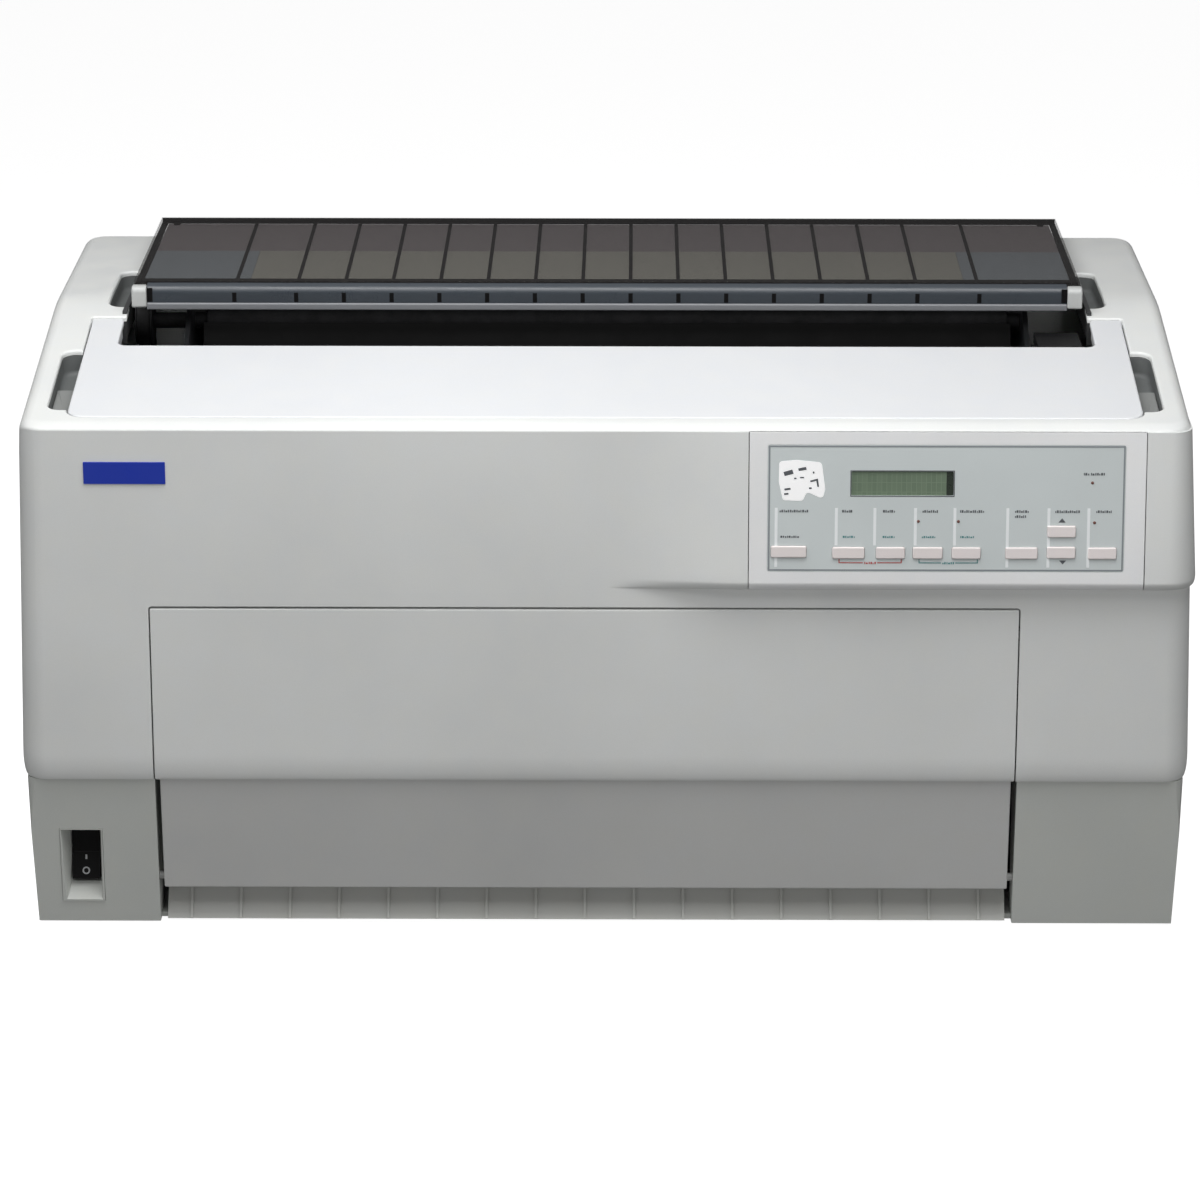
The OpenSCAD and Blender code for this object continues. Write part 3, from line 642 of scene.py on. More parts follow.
def case_ring(h, y0, y1, r, zf):
    """Plan outline of the case; zf(x, y) gives the height of each point"""
    pts = []

    def arc(cx, cy, a0):
        for k in range(11):
            a = math.radians(a0 + 9 * k)
            pts.append((cx + r * math.cos(a), cy + r * math.sin(a)))

    for y in YB:
        pts.append((h, y))
    arc(h - r, y1 - r, 0)
    for x in reversed(XB):
        pts.append((x, y1))
    arc(-h + r, y1 - r, 90)
    for y in reversed(YB):
        pts.append((-h, y))
    arc(-h + r, y0 + r, 180)
    for x in XB:
        pts.append((x, y0))
    arc(h - r, y0 + r, 270)
    return [(x, y, zf(x, y)) for x, y in pts]


def lip(q):
    """Drop of the front lip at distance q behind the front face: a shallow slope and a small round"""
    c = 1.1 * (1 - math.sqrt(max(0.0, 1 - ((1.1 - q) / 1.1) ** 2))) if q < 1.1 else 0.0
    return 2.2 * (max(0.0, 8 - q) / 8) ** 1.6 + c


def rim_z(x, y, q, drop, dw, roll):
    """Height of the rounded rim; the front lip is flatter than the sides"""
    k = ease((-167 - y) / max(15 - dw - q, 1)) if roll else 0.0
    return ztop(y) - dw - drop * (1 - k) - lip(q) * k


def ease(t):
    t = max(0.0, min(1.0, t))
    return t * t * (3 - 2 * t)


def case_rings(dw, R, roll):
    """Rings of the outer (dw 0) or inner skin, from the bottom edge up"""
    rings = []
    if roll:
        for k in range(7):
            a = math.radians(90 * k / 6)
            z, q = 98 + 16 * (1 - math.cos(a)), 2.8 * (1 - math.sin(a))
            rings.append(case_ring(half_w(z) - dw - q, -182 + dw + q, 191 - dw - q, 15 - dw - q * 0.5, lambda x, y, z=z: z))
    else:
        rings.append(case_ring(half_w(98) - dw - 2.8, -182 + dw + 2.8, 191 - dw - 2.8, 15 - dw - 1.4, lambda x, y: 98))
        rings.append(case_ring(half_w(114) - dw, -182 + dw, 191 - dw, 15 - dw, lambda x, y: 114))
    rings.append(case_ring(half_w(210) - dw, -182 + dw, 191 - dw, 15 - dw, lambda x, y: 210))
    rings.append(case_ring(half_w(300) - dw, -182 + dw, 191 - dw, 15 - dw, lambda x, y: 300 if y < -100 else 300 + min(1, (y + 100) / 130) * 24))
    steps = 8 if roll else 4
    for k in range(steps + 1):
        a = math.radians(90 * k / steps)
        q, drop = R * (1 - math.cos(a)), R * (1 - math.sin(a))
        rings.append(case_ring(half_w(322) - dw - q, -182 + dw + q, 191 - dw - q, 15 - dw - q,
                               lambda x, y, q=q, drop=drop: rim_z(x, y, q, drop, dw, roll)))
    return rings


def case_skin():
    """Outer and inner skin of the upper case with the rim between them, as one closed solid"""
    outer = case_rings(0.0, 8.0, True)
    inner = case_rings(3.0, 5.0, False)
    n = len(outer[0])
    nb = len(YB)
    verts, faces = [], []

    def skin(rings, flip):
        base = len(verts)
        for r in rings:
            verts.extend(r)
        for k in range(len(rings) - 1):
            for i in range(n):
                j = (i + 1) % n
                f = (base + k * n + i, base + k * n + j, base + (k + 1) * n + j, base + (k + 1) * n + i)
                faces.append(f[::-1] if flip else f)
        top = base + (len(rings) - 1) * n
        right = [top + i for i in range(nb)]
        left0 = nb + 11 + len(XB) + 11
        left = [top + left0 + i for i in range(nb)][::-1]
        for i in range(nb - 1):
            f = (left[i], right[i], right[i + 1], left[i + 1])
            faces.append(f[::-1] if flip else f)
        rear = [top + i for i in range(nb - 1, left0 + 1)]
        front = [top + i for i in range(left0 + nb - 1, n)] + [top]
        for f in (tuple(rear), tuple(front)):
            faces.append(f[::-1] if flip else f)
        return base

    a = skin(outer, False)
    b = skin(inner, True)
    for i in range(n):
        j = (i + 1) % n
        faces.append((a + j, a + i, b + i, b + j))
    return Geo().add(verts, faces)


def bulge_out(z):
    """How far the bulge of the control panel stands out of the front at height z"""
    if z >= 315.5:
        return 0.35
    if z >= 226:
        return 0.35 + 8.65 * (315.5 - z) / 92.9
    t = (226 - z) / 6.2
    return 0.9 + 7.783 * math.sqrt(max(0.0, 1 - t * t))


def bulge_patch(path, zs_):
    """Closed patch over the wall along path: (x, y, nx, ny, amount)"""
    rows = []
    for x, y, nx, ny, k in path:
        row = []
        for z in zs_:
            # lean of the side wall
            lean = (half_w(z) - 347.0) * abs(nx)
            d = bulge_out(z) * k
            row.append((x + nx * (d + lean), y + ny * d, z))
        for z in reversed(zs_):
            row.append((x - nx * 3.6, y - ny * 3.6, z))
        rows.append(row)
    n = len(rows[0])
    verts = [p for r in rows for p in r]
    faces = []
    for k in range(len(rows) - 1):
        for i in range(n):
            j = (i + 1) % n
            faces.append((k * n + i, (k + 1) * n + i, (k + 1) * n + j, k * n + j))
    faces.append(tuple(range(n)))
    faces.append(tuple((len(rows) - 1) * n + i for i in range(n - 1, -1, -1)))
    return Geo().add(verts, faces)


ZP = [219.8, 219.85, 220.1, 220.6, 221.3, 222.2, 223.3, 224.6, 226.0, 231.0, 238.0, 248.0, 260.0, 272.0, 284.0, 296.0, 306.0, 312.0, 315.5]

shell = case_skin().obj("upper_case_shell", "case_top", "case_top_edge")
# bulge left of the panel, rising out of the front
swoosh = bulge_patch([(x, -182.0 if x > -30 else -181.9, 0, -1, e) for x, e in
                      [(-8 + 92.2 * k / 22, -0.02 + 1.02 * ease(k / 22) ** 1.15) for k in range(23)]], ZP).obj("swoosh")
# bulge right of the panel, round the corner and dying out along the side
path = [(317.5, -182, 0, -1, 1.0), (326.0, -182, 0, -1, 1.0), (332.0, -182, 0, -1, 0.99)]
for k in range(1, 11):
    a = math.radians(9 * k)
    path.append((332 + 15 * math.sin(a), -167 - 15 * math.cos(a), math.sin(a), -math.cos(a), 0.99 - 0.66 * ease(k / 10)))
for k in range(1, 11):
    path.append((347.0, -167 + 6.5 * k, 1, 0, 0.33 - 0.335 * ease(k / 10)))
wrap = bulge_patch(path, ZP).obj("wrap")
csg(shell, [swoosh, wrap], "UNION")

cut = []
# printer cover, with round front corners, and the two front grips
lid_hole = cut_long(rrect(-317.6, 317.6, -168.8, -15.8, (11, 11, 2.5, 2.5), 8), 40)
cut.append(Geo().flare(lid_hole, -9, 1.3, on_slope).obj("c"))
for s in (-1, 1):
    a, b = sorted((s * 312, s * 329.5))
    r = (8, 0, 0, 8) if s < 0 else (0, 8, 8, 0)
    cut.append(Geo().flare(cut_long(rrect(a, b, -158, -69, r, 8), 30), -9, 1.6, on_slope).obj("c"))
    a, b = sorted((s * 292, s * 309.5))
    cut.append(Geo().flare(cut_long(rrect(a, b, 1, 84.5, r, 8), 6), -9, 1.6, on_top).obj("c"))
# opening under the paper eject cover
cut.append(Geo().slab(cut_long(rrect(-296.5, 296.5, -18, 174.5, 2, 3), 6), -9, 6, m=on_top).obj("c"))
# front door, control panel, rear cover, rear paper slot
front = lambda u, v, w: (u, -182 - w, v)
cut.append(Geo().flare(rrect(-270.4, 246.0, 60, 207.4, (0, 0, 2.2, 2.2), 4), -9, 0.7, front, over=2.5).obj("c"))
cut.append(Geo().slab(rrect(84.2, 317.4, 219.4, 315.9, (1.2, 1.2, 1.2, 1.2), 3), -9, 14, m=front).obj("c"))
rear = lambda u, v, w: (-u, 191 + w, v)
cut.append(Geo().flare(rrect(-262.8, 262.8, 111, 304, 4.5, 5), -9, 0.8, rear, over=2.5).obj("c"))
cut.append(Geo().slab(rrect(-255, 255, 60, 106, 1.5, 3), -9, 6, m=rear).obj("c"))
# vents in the left side wall
for k in range(12):
    side = lambda u, v, w: (-half_w(v) - w, -u, v)
    cut.append(Geo().flare(rrect(56 - 12 * k, 60 - 12 * k, 130, 170, 1.98, 5), -9, 0.5, side, over=1.0).obj("c"))
csg(shell, cut)
clean(shell)
put(shell, "printer_body", "case_top", "upper_case", angle=28)

# inner walls and shelves round the covers
walls = []


def wall(a, b, m=flat):
    walls.append(Geo().box(a, b, m).obj("w"))


for s in (-1, 1):
    def sx(x0, x1):
        return sorted((s * x0, s * x1))
    for x0, x1, y0, y1, d0, d1 in ((306, 333, -173, -12, 15.5, 18), (330.4, 332.8, -160.4, -66.6, 2.2, 16), (296.6, 321.3, -15.6, -12.9, 2.6, 17.2)):
        x0, x1 = sx(x0, x1)
        wall((x0, y0, -d1), (x1, y1, -d0), on_slope)
    x0, x1 = sx(296.6, 299.4)
    wall((x0, -12, 330), (x1, 178, 345.5))
    x0, x1 = sx(296.7, 312.4)
    wall((x0, -2, 331), (x1, 87.5, 334))
wall((-320, -172, -14), (320, -169.2, -2.4), on_slope)
wall((-299, 174.8, 332), (299, 177.4, 345.6))
inner_walls = walls[0]
csg(inner_walls, walls[1:], "UNION")
inner_walls.name = "upper_case_inner_walls"
clean(inner_walls)
# painted shade: the inner walls take the darkened case plastic
inner_walls.data.materials.clear()
inner_walls.data.materials.append(M["inner_wall_shade"])
put(inner_walls, "printer_body", "case_top")


def tub(name, x0, x1, y0, y1, depth, m, s, rim, step=None):
    """Moulded finger hollow: a rounded pocket open at the top, 1.6 mm thick, in case plastic darkened as painted shade
    """
    r = (8, 0.8, 0.8, 8) if s < 0 else (0.8, 8, 8, 0.8)
    pts = cut_long(rrect(x0, x1, y0, y1, r, 8), 8)
    inner = [(-rim, 0.0), (-depth + 3.0, 0.25)]
    inner += [(-depth + 3.0 * (1 - math.sin(math.radians(30 * k))), 0.25 + 3.0 * (1 - math.cos(math.radians(30 * k)))) for k in (1, 2, 3)]
    outer = [(-depth - 1.6, 2.6), (-depth + 0.6, -1.2), (-rim, -1.5)]
    rings = [[m(p[0], p[1], w) for p in inset(pts, d)] for w, d in inner[::-1]]
    out = [[m(p[0], p[1], w) for p in inset(pts, d)] for w, d in outer[::-1]]
    g = Geo().loft(rings + out)
    o = g.obj(name, "hollow_shade", "hollow_step_shade")
    put(o, "printer_body", "case_top")
    return o


for s, side_name in ((-1, "left"), (1, "right")):
    a, b = sorted((s * 317.0, s * 329.4))
    tub("grip_hollow_front_" + side_name, a, b, -157.9, -69.1, 15.0, on_slope, s, 3.4)
    a, b = sorted((s * 317.4, s * 328.9))
    st = Geo().slab(cut_long(rrect(a, b, -157.2, -110, (7.4, 1, 1, 1) if s < 0 else (1, 7.4, 1, 1), 6), 20), -14.6, -8.0, 0, 1.2, on_slope).obj(
        "grip_step_" + side_name, "hollow_step_shade")
    put(st, "printer_body", "case_top")
    a, b = sorted((s * 300.2, s * 309.4))
    tub("grip_hollow_rear_" + side_name, a, b, 1.1, 84.4, 12.6, on_top, s, 3.2)
    # hinge ears of the paper eject cover
    a, b = sorted((s * 272.0, s * 279.5))
    ear = Geo().slab([(165.2, 343), (178, 343), (178, 348.2), (174.95, 349.8)] +
                     [(171 + 3.95 * math.cos(math.radians(15 * k)), 355 + 3.95 * math.sin(math.radians(15 * k))) for k in range(13)] +
                     [(167.05, 349.8), (165.2, 348.2)], a, b, 0.4, 0.4,
                     lambda u, v, w: (w, u, v)).obj("eject_cover_ear_" + side_name, "case_top")
    put(ear, "printer_body", "case_top")
    a, b = sorted((s * 255.0, s * 259.0))
    ear = Geo().slab(rounded([(180, 292), (187.6, 292), (189.6, 304), (189.6, 311.5), (180, 311.5)], 1.2, 3), a, b, 0.4, 0.4,
                     lambda u, v, w: (w, u, v)).obj("rear_cover_ear_" + side_name, "case_rear")
    put(ear, "printer_body", "case_rear")

# ------------------------------------------------------------------ lower case
base = cad_copy("lower_case", "lower_case_shell", "case_base", "case_base_edge")
bevel(base, 0.8, 2, 42, 1, lambda p: not (p.z < 20 and abs(abs(p.x) - 249) < 6 and abs(p.y) < 140))
put(base, "printer_body", "case_base", "lower_case")

# ------------------------------------------------------------------ printer cover (white)
u_shape = [(-316.8, -168.2), (316.8, -168.2), (316.8, -19.6), (297.5, -19.6), (297.5, -60.6), (-297.5, -60.6), (-297.5, -19.6), (-316.8, -19.6)]
u_pts = rounded(u_shape, (10.4, 10.4, 2.4, 2.2, 5.5, 5.5, 2.2, 2.4), 8)
lid = Geo().slab(u_pts, -3.0, 0.0, 0.4, 1.1, on_slope, 4).obj("printer_cover_panel", "cover_white")
put(lid, "printer_cover", "cover_white", "printer_cover", angle=26)
parts = Geo()
parts.slab(rounded([(-311, -163), (311, -163), (311, -160.6), (-311, -160.6)], 0.6, 2), -10, -2.8, 0.5, 0, on_slope)
parts.slab(rounded([(-299, -63.6), (299, -63.6), (299, -61.2), (-299, -61.2)], 0.6, 2), -10, -2.8, 0.5, 0, on_slope)
for s in (-1, 1):
    a, b = sorted((s * 311.8, s * 314.3))
    parts.slab(rounded([(a, -159.9), (b, -159.9), (b, -25), (a, -25)], 0.6, 2), -10, -2.8, 0.5, 0, on_slope)
    a, b = sorted((s * 298.2, s * 300.4))
    parts.slab(rounded([(a, -60.4), (b, -60.4), (b, -25), (a, -25)], 0.6, 2), -10, -2.8, 0.5, 0, on_slope)
    for k in range(3):
        x = s * (303 + 4 * k)
        parts.slab([(x - 0.7, -52 + 9 * k), (x + 0.7, -52 + 9 * k), (x + 0.7, -26), (x - 0.7, -26)], -6, -2.8, 0, 0, on_slope)
put(parts.obj("printer_cover_ribs", "cover_white"), "printer_cover", "cover_white")
for s, side_name in ((-1, "left"), (1, "right")):
    kn = Geo()
    a, b = sorted((s * 298.5, s * 316.8))
    prof = [(3.2 * math.cos(math.radians(12 * k)), 3.2 * math.sin(math.radians(12 * k))) for k in range(30)]
    kn.slab([(-19.6 + p[0], 339.2 + p[1]) for p in prof], a, b, 0.4, 0.4, lambda u, v, w: (w, u, v))
    o = kn.obj("printer_cover_knuckle_" + side_name, "cover_white")
    put(o, "printer_cover", "cover_white")
    a, b = sorted((s * 316.4, s * 320.4))
    pin = Geo().slab([(-19.6 + 1.5 * math.cos(math.radians(15 * k)), 339.2 + 1.5 * math.sin(math.radians(15 * k))) for k in range(24)], a, b, 0.3, 0.3,
                     lambda u, v, w: (w, u, v)).obj("printer_cover_pin_" + side_name, "cover_white")
    put(pin, "printer_cover", "cover_white")

# ------------------------------------------------------------------ paper eject cover (smoked)
tray = Geo().box((-292.5, -4.5, 360), (292.5, 174, 363)).obj("eject_cover_shell", "smoke")
bits = []
for s in (-1, 1):
    a, b = sorted((s * 289.9, s * 292.5))
    bits.append(Geo().box((a, -4.4, 349.4), (b, 168, 361)).obj("b"))
csg(tray, bits, "UNION")
clean(tray)
bevel(tray, 0.7, 3, 40, -1, lambda p: p.z > 362.5 or p.z < 349.6 or p.y > 173.5 or (abs(p.x) > 292.3))
put(tray, "eject_cover", "smoke", "eject_cover", "eject_cover_walls", angle=30)
wall_pts = [(-11, 350.9)] + [(-5 + 6 * math.cos(math.radians(180 - 11.25 * k)), 356 + 6 * math.sin(math.radians(180 - 11.25 * k))) for k in range(9)]
wall_pts += [(-4.6, 362), (-4.6, 360.1), (-5.4, 359.4), (-6.5, 359), (-7.4, 358.4), (-8.14, 357.3), (-8.4, 356), (-8.4, 350.9)]
front_wall = Geo().slab(wall_pts[::-1], -284.1, 284.1, 0.3, 0.3, lambda u, v, w: (w, u, v), 2)
put(front_wall.obj("eject_cover_front_wall", "smoke_front"), "eject_cover", "smoke", angle=40)
RIBX = [s * (14.8 + 29.5 * k) for s in (-1, 1) for k in range(7)] + [-230, 230]
ribs = Geo()
for x in RIBX:
    w = 1.1
    ribs.slab([(x - w, -1.2), (x + w, -1.2), (x + w, 170.6), (x - w, 170.6)], 359.45, 359.97, 0, 0, n=2)
    ribs.slab([(x - 0.8, -4.0), (x + 0.8, -4.0), (x + 0.8, 92.8), (x - 0.8, 92.8)], 357.1, 359.4, 0.3, 0, n=2)
    ribs.slab([(x - 0.8, 93.2), (x + 0.8, 93.2), (x + 0.8, 164.8), (x - 0.8, 164.8)], 357.1, 358.9, 0.3, 0, n=2)
    ribs.slab([(x - 1.3, -11.04), (x + 1.3, -11.04), (x + 1.3, -10.4), (x - 1.3, -10.4)], 351.2, 357.2, 0.1, 0.1, n=2)
for s in (-1, 1):
    a, b = sorted((s * 288.2, s * 292.3))
    ribs.slab([(a, -1.2), (b, -1.2), (b, 170.6), (a, 170.6)], 359.45, 359.97, 0, 0, n=2)
    a, b = sorted((s * 280.6, s * 284.0))
    ribs.slab([(a, -11.04), (b, -11.04), (b, -10.4), (a, -10.4)], 351.2, 360, 0.1, 0.1, n=2)
ribs.slab([(-292.3, 170.8), (292.3, 170.8), (292.3, 173.7), (-292.3, 173.7)], 359.45, 359.97, 0, 0, n=2)
ribs.slab([(-288, 5), (288, 5), (288, 15), (-288, 15)], 359.42, 359.96, 0, 0, n=2)
ribs.slab([(-292.2, 173.55), (292.2, 173.55), (292.2, 173.9), (-292.2, 173.9)], 359.6, 362.7, 0, 0, n=2)
put(ribs.obj("eject_cover_ribs", "smoke_rib"), "eject_cover", "smoke")
# painted light: lighter sheets under the smoked plate stand in for the lit exit plate and frames seen through it, over
# a black sheet that hides the real parts beneath
deep = Geo().slab([(-287.9, 93.1), (287.9, 93.1), (287.9, 170.6), (-287.9, 170.6)], 359.02, 359.4, 0, 0, n=2)
put(deep.obj("eject_cover_rear_painted_view", "view_painted_rear"), "eject_cover", "smoke")
warm = Geo().slab([(-221.8, 15.2), (221.8, 15.2), (221.8, 92.9), (-221.8, 92.9)], 359.1, 359.4, 0, 0, n=2)
put(warm.obj("eject_cover_front_painted_view_middle", "view_painted_middle"), "eject_cover", "smoke")
cool = Geo()
for s in (-1, 1):
    a, b = sorted((s * 222.0, s * 287.9))
    cool.slab([(a, 15.2), (b, 15.2), (b, 92.9), (a, 92.9)], 359.1, 359.4, 0, 0, n=2)
put(cool.obj("eject_cover_front_painted_view_ends", "view_painted_ends"), "eject_cover", "smoke")
under = Geo().slab([(-287.9, 15.2), (287.9, 15.2), (287.9, 166.2), (-287.9, 166.2)], 358.72, 358.94, 0, 0, n=2)
put(under.obj("eject_cover_underside", "smoke_rib"), "eject_cover", "smoke")
arms = Geo()
for s in (-1, 1):
    a, b = sorted((s * 280.2, s * 284.4))
    arms.slab(rounded([(166.6, 351.2), (175.2, 351.2), (175.2, 359.9), (166.6, 359.9)], (4, 4, 0.6, 0.6), 4), a, b, 0.4, 0.4, lambda u, v, w: (w, u, v))
put(arms.obj("eject_cover_hinge_arms", "smoke_rib"), "eject_cover", "smoke")
pins = Geo()
for s in (-1, 1):
    a, b = sorted((s * 272.5, s * 280.1))
    pins.slab([(171 + 2 * math.cos(math.radians(15 * k)), 355 + 2 * math.sin(math.radians(15 * k))) for k in range(24)], a, b, 0.3, 0.3, lambda u, v, w: (w, u, v))
put(pins.obj("eject_cover_pins", "smoke_rib"), "eject_cover", "smoke")

# rail along the front edge of the eject cover, and its end caps
rail = Geo().slab(rounded([(-12, 346.4), (-6.6, 346.4), (-6.6, 350.8), (-12, 350.8)], (0.8, 0.3, 0.3, 1.3), 4), -284.1, 284.1, 0.4, 0.4, lambda u, v, w: (w, u, v))
put(rail.obj("eject_cover_rail_bar", "rail"), "eject_cover", "rail", "eject_cover_rail")
caps = Geo()
for s in (-1, 1):
    a, b = sorted((s * 284.3, s * 293.5))
    caps.slab(rounded([(-12.4, 347.7), (-4.6, 347.7), (-4.6, 361), (-12.4, 361)], (1.4, 0.8, 1.4, 4), 7), a, b, 1.1, 1.1, lambda u, v, w: (w, u, v), 4)
put(caps.obj("rail_end_caps_pair", "cap_white"), "eject_cover", "cover_white", "rail_end_caps", angle=35)

# ------------------------------------------------------------------ front door
def roll(z):
    t = max(0.0, min(1.0, (z - 98) / 16))
    return 2.8 * (1 - math.sqrt(max(0.0, 1 - (1 - t) ** 2)))


outer = [(-182 + roll(z) + (0.0 if z > 98.6 else 0.3), z) for z in (98.2, 98.7, 99.5, 101, 103, 106, 109, 112, 114)]
prof = [(-176.4, 98.2)] + [(y, z) for y, z in outer] + [(-182, 205.2), (-181.6, 206.1), (-180.8, 206.4), (-179, 206.4), (-179, 112), (-176.2, 103)]
prof = prof[::-1]
door = Geo().slab(prof, -269.6, 245.2, 0.7, 0.7, lambda u, v, w: (w, u, v), 3)
o = door.obj("front_cover_face", "case_top")
put(o, "front_cover", "case_top", "front_cover", angle=30)
low = Geo().slab(rounded([(-175.2, 102), (-178.5, 102), (-169.5, 25.4), (-166.5, 25.4)], (0, 0, 1.0, 0.5), 3), -266.9, 243.4, 0.8, 0.8, lambda u, v, w: (w, u, v), 3)
put(low.obj("front_cover_lower_panel", "door_low"), "front_cover", "case_base", angle=30)
bits = Geo()
bits.box((-267.4, -179.2, 203.4), (242.9, -170.2, 205.9))
for x in (-267.4, 240.6):
    bits.box((x, -179.2, 108), (x + 2.6, -170.2, 203.4))
for x in (-180, -90, 0, 90, 180):
    bits.box((x - 12.2 - 0.9, -179.1, 112), (x - 12.2 + 0.9, -174.5, 203.4))
put(bits.obj("front_cover_stiffeners", "case_rear"), "front_cover", "case_top")
hinges = Geo()
for a, b in ((-266.6, -262.6), (239.1, 243.1)):
    hinges.slab(rounded([(-170.6, 30), (-167.2, 42), (-163, 35.3), (-158.8, 31), (-163, 26.8)], 1.8, 4), a, b, 0.3, 0.3, lambda u, v, w: (w, u, v))
put(hinges.obj("front_cover_hinge_arms", "door_low"), "front_cover", "case_base")
pins = Geo()
for a, b in ((-272.6, -266.7), (243.2, 249.6)):
    pins.slab([(-163 + 2.45 * math.cos(math.radians(15 * k)), 31 + 2.45 * math.sin(math.radians(15 * k))) for k in range(24)], a, b, 0.3, 0.3, lambda u, v, w: (w, u, v))
put(pins.obj("front_cover_pins", "door_low"), "front_cover", "case_base")

# ------------------------------------------------------------------ rear cover
rc = cad_copy("rear_cover", "rear_cover_plate", "case_rear", "case_top_edge")
bevel(rc, 0.7, 3, 40, 1)
put(rc, "rear_cover", "case_rear", "rear_cover")

# ------------------------------------------------------------------ control panel
TILT = math.radians(5.167)


def on_panel(u, v, w):
    return (u, -191 + v * math.sin(TILT) - w * math.cos(TILT), 222 + v * math.cos(TILT) + w * math.sin(TILT))


KEYS = [[108.1, 22.6, 20.5], [143.2, 22, 18.6], [167.9, 22, 16.6], [189.8, 22, 17.2], [212.4, 22, 16.6],
        [244.8, 22, 18.6], [268.1, 35, 16.4], [268.1, 22.4, 16.4], [292.2, 22, 16.4]]
KH = 6.6
by_x = lambda u, v, w: (w, u, v)
prof = [(-176, 219.8)] + [(-182.9 - 7.73 * math.sin(math.radians(11.25 * k)), 226 - 6.2 * math.cos(math.radians(11.25 * k))) for k in range(9)]
prof += [(-182.4, 315.5), (-176, 315.5)]
# bezel in its lighter colour, painted light for its tilted face
bez = Geo().slab(prof[::-1], 84.7, 317, 0.4, 0.4, by_x, 2).obj("panel_bezel_frame", "bezel")
holes = [Geo().slab([(-170, 222.6), (-170, 312.7), (-179.6, 312.7), (-187.7, 224), (-186.4, 222.6)], 87.2, 314.5, m=by_x).obj("h"),
         Geo().slab(rrect(95.4, 305.1, 10.6, 86.6, 1.6, 4), -0.8, 5, m=on_panel).obj("h"),
         Geo().box((143, 55.8, -7), (204.4, 71, 1), on_panel).obj("h")]
film_holes = [Geo().slab(rrect(144.5, 204.4, 56.3, 70.7, 0.6, 3), -3, 3, m=on_panel).obj("h")]
for x, y, w in KEYS:
    holes.append(Geo().box((x - w / 2 - 0.4, y - KH / 2 - 0.4, -7), (x + w / 2 + 0.4, y + KH / 2 + 0.4, 1), on_panel).obj("h"))
    film_holes.append(Geo().slab(rrect(x - w / 2 - 0.38, x + w / 2 + 0.38, y - KH / 2 - 0.38, y + KH / 2 + 0.38, 1.2, 4), -3, 3, m=on_panel).obj("h"))
csg(bez, holes)
put(bez, "printer_body", "case_top", "panel_bezel")
ov = Geo().slab(rrect(95.55, 304.95, 10.75, 86.45, 1.5, 4), -0.78, -0.18, m=on_panel).obj("panel_overlay_film", "overlay")
csg(ov, film_holes)
put(ov, "printer_body", "overlay", "panel_overlay")

for i, (x, y, w) in enumerate(KEYS):
    k = Geo()
    k.slab(rrect(x - w / 2 - 0.22, x + w / 2 + 0.22, y - KH / 2 - 0.22, y + KH / 2 + 0.22, 1.1, 4), -3.0, 0.9, 0, 0.8, on_panel, 4)
    cap = k.obj("key_cap_%d" % (i + 1), "button")
    put(cap, "button_%d" % (i + 1), "button", "button_%d" % (i + 1), angle=35)
    k = Geo()
    k.slab(rrect(x - w / 2 - 1, x + w / 2 + 1, y - KH / 2 - 1, y + KH / 2 + 1, 0.6, 3), -4.2, -3.2, 0.2, 0.2, on_panel, 2)
    k.slab(rrect(x - 2.5, x + 2.5, y - 2, y + 2, 0.4, 2), -7.6, -4.25, 0.3, 0, on_panel, 2)
    k.slab(rrect(x - w / 2 + 1, x + w / 2 - 1, y - KH / 2 + 1, y + KH / 2 - 1, 0.4, 2), -3.2, -3.0, 0, 0, on_panel, 2)
    put(k.obj("key_stem_%d" % (i + 1), "button"), "button_%d" % (i + 1), "button")

lcd = Geo().slab(rrect(143.2, 204.2, 56, 70.8, 0.8, 3), -3, -0.85, 0, 0.2, on_panel, 2)
put(lcd.obj("lcd_glass", "lcd"), "printer_body", "lcd", "lcd_window")
strip = Geo().slab(rrect(200.2, 204.15, 56.1, 70.75, 0.3, 2), -0.84, -0.8, 0, 0, on_panel)
put(strip.obj("lcd_end_strip", "lcd_dark"), "printer_body", "lcd")
lens = Geo()
for x, y in ((184, 40.9), (207.5, 40.9), (287.3, 40.3), (285.6, 64.1)):
    rings = []
    for w, r in ((-0.8, 0.9), (-0.1, 0.9), (0.08, 0.78), (0.2, 0.46), (0.24, 0.15)):
        rings.append([on_panel(x + r * math.cos(math.radians(18 * k)), y + r * math.sin(math.radians(18 * k)), w) for k in range(20)])
    lens.loft(rings)
put(lens.obj("led_lens_set", "led"), "printer_body", "led", "led_lenses")

W0, W1 = -0.16, -0.07


def prints(name, mat, rects, polys=()):
    g = Geo()
    for x0, x1, y0, y1 in rects:
        g.slab([(x0, y0), (x1, y0), (x1, y1), (x0, y1)], W0, W1, m=on_panel)
    for p in polys:
        g.slab(p, W0, W1, m=on_panel)
    o = g.obj(name, mat)
    put(o, "printer_body", "overlay")
    return o


# border line of the film and a frame line round the display
x0, x1, y0, y1 = 96.0, 304.5, 11.2, 86.0
rects = [(x0, x1, y0, y0 + 0.9), (x0, x1, y1 - 0.9, y1), (x0, x0 + 0.9, y0 + 0.95, y1 - 0.95), (x1 - 0.9, x1, y0 + 0.95, y1 - 0.95)]
prints("panel_print_border", "ink_mid", rects)
x0, x1, y0, y1 = 143.9, 205.0, 55.7, 71.3
rects = [(x0, x1, y0, y0 + 0.55), (x0, x1, y1 - 0.55, y1), (x0, x0 + 0.55, y0 + 0.6, y1 - 0.6), (x1 - 0.55, x1, y0 + 0.6, y1 - 0.6)]
prints("panel_print_display_frame", "ink_dark", rects)
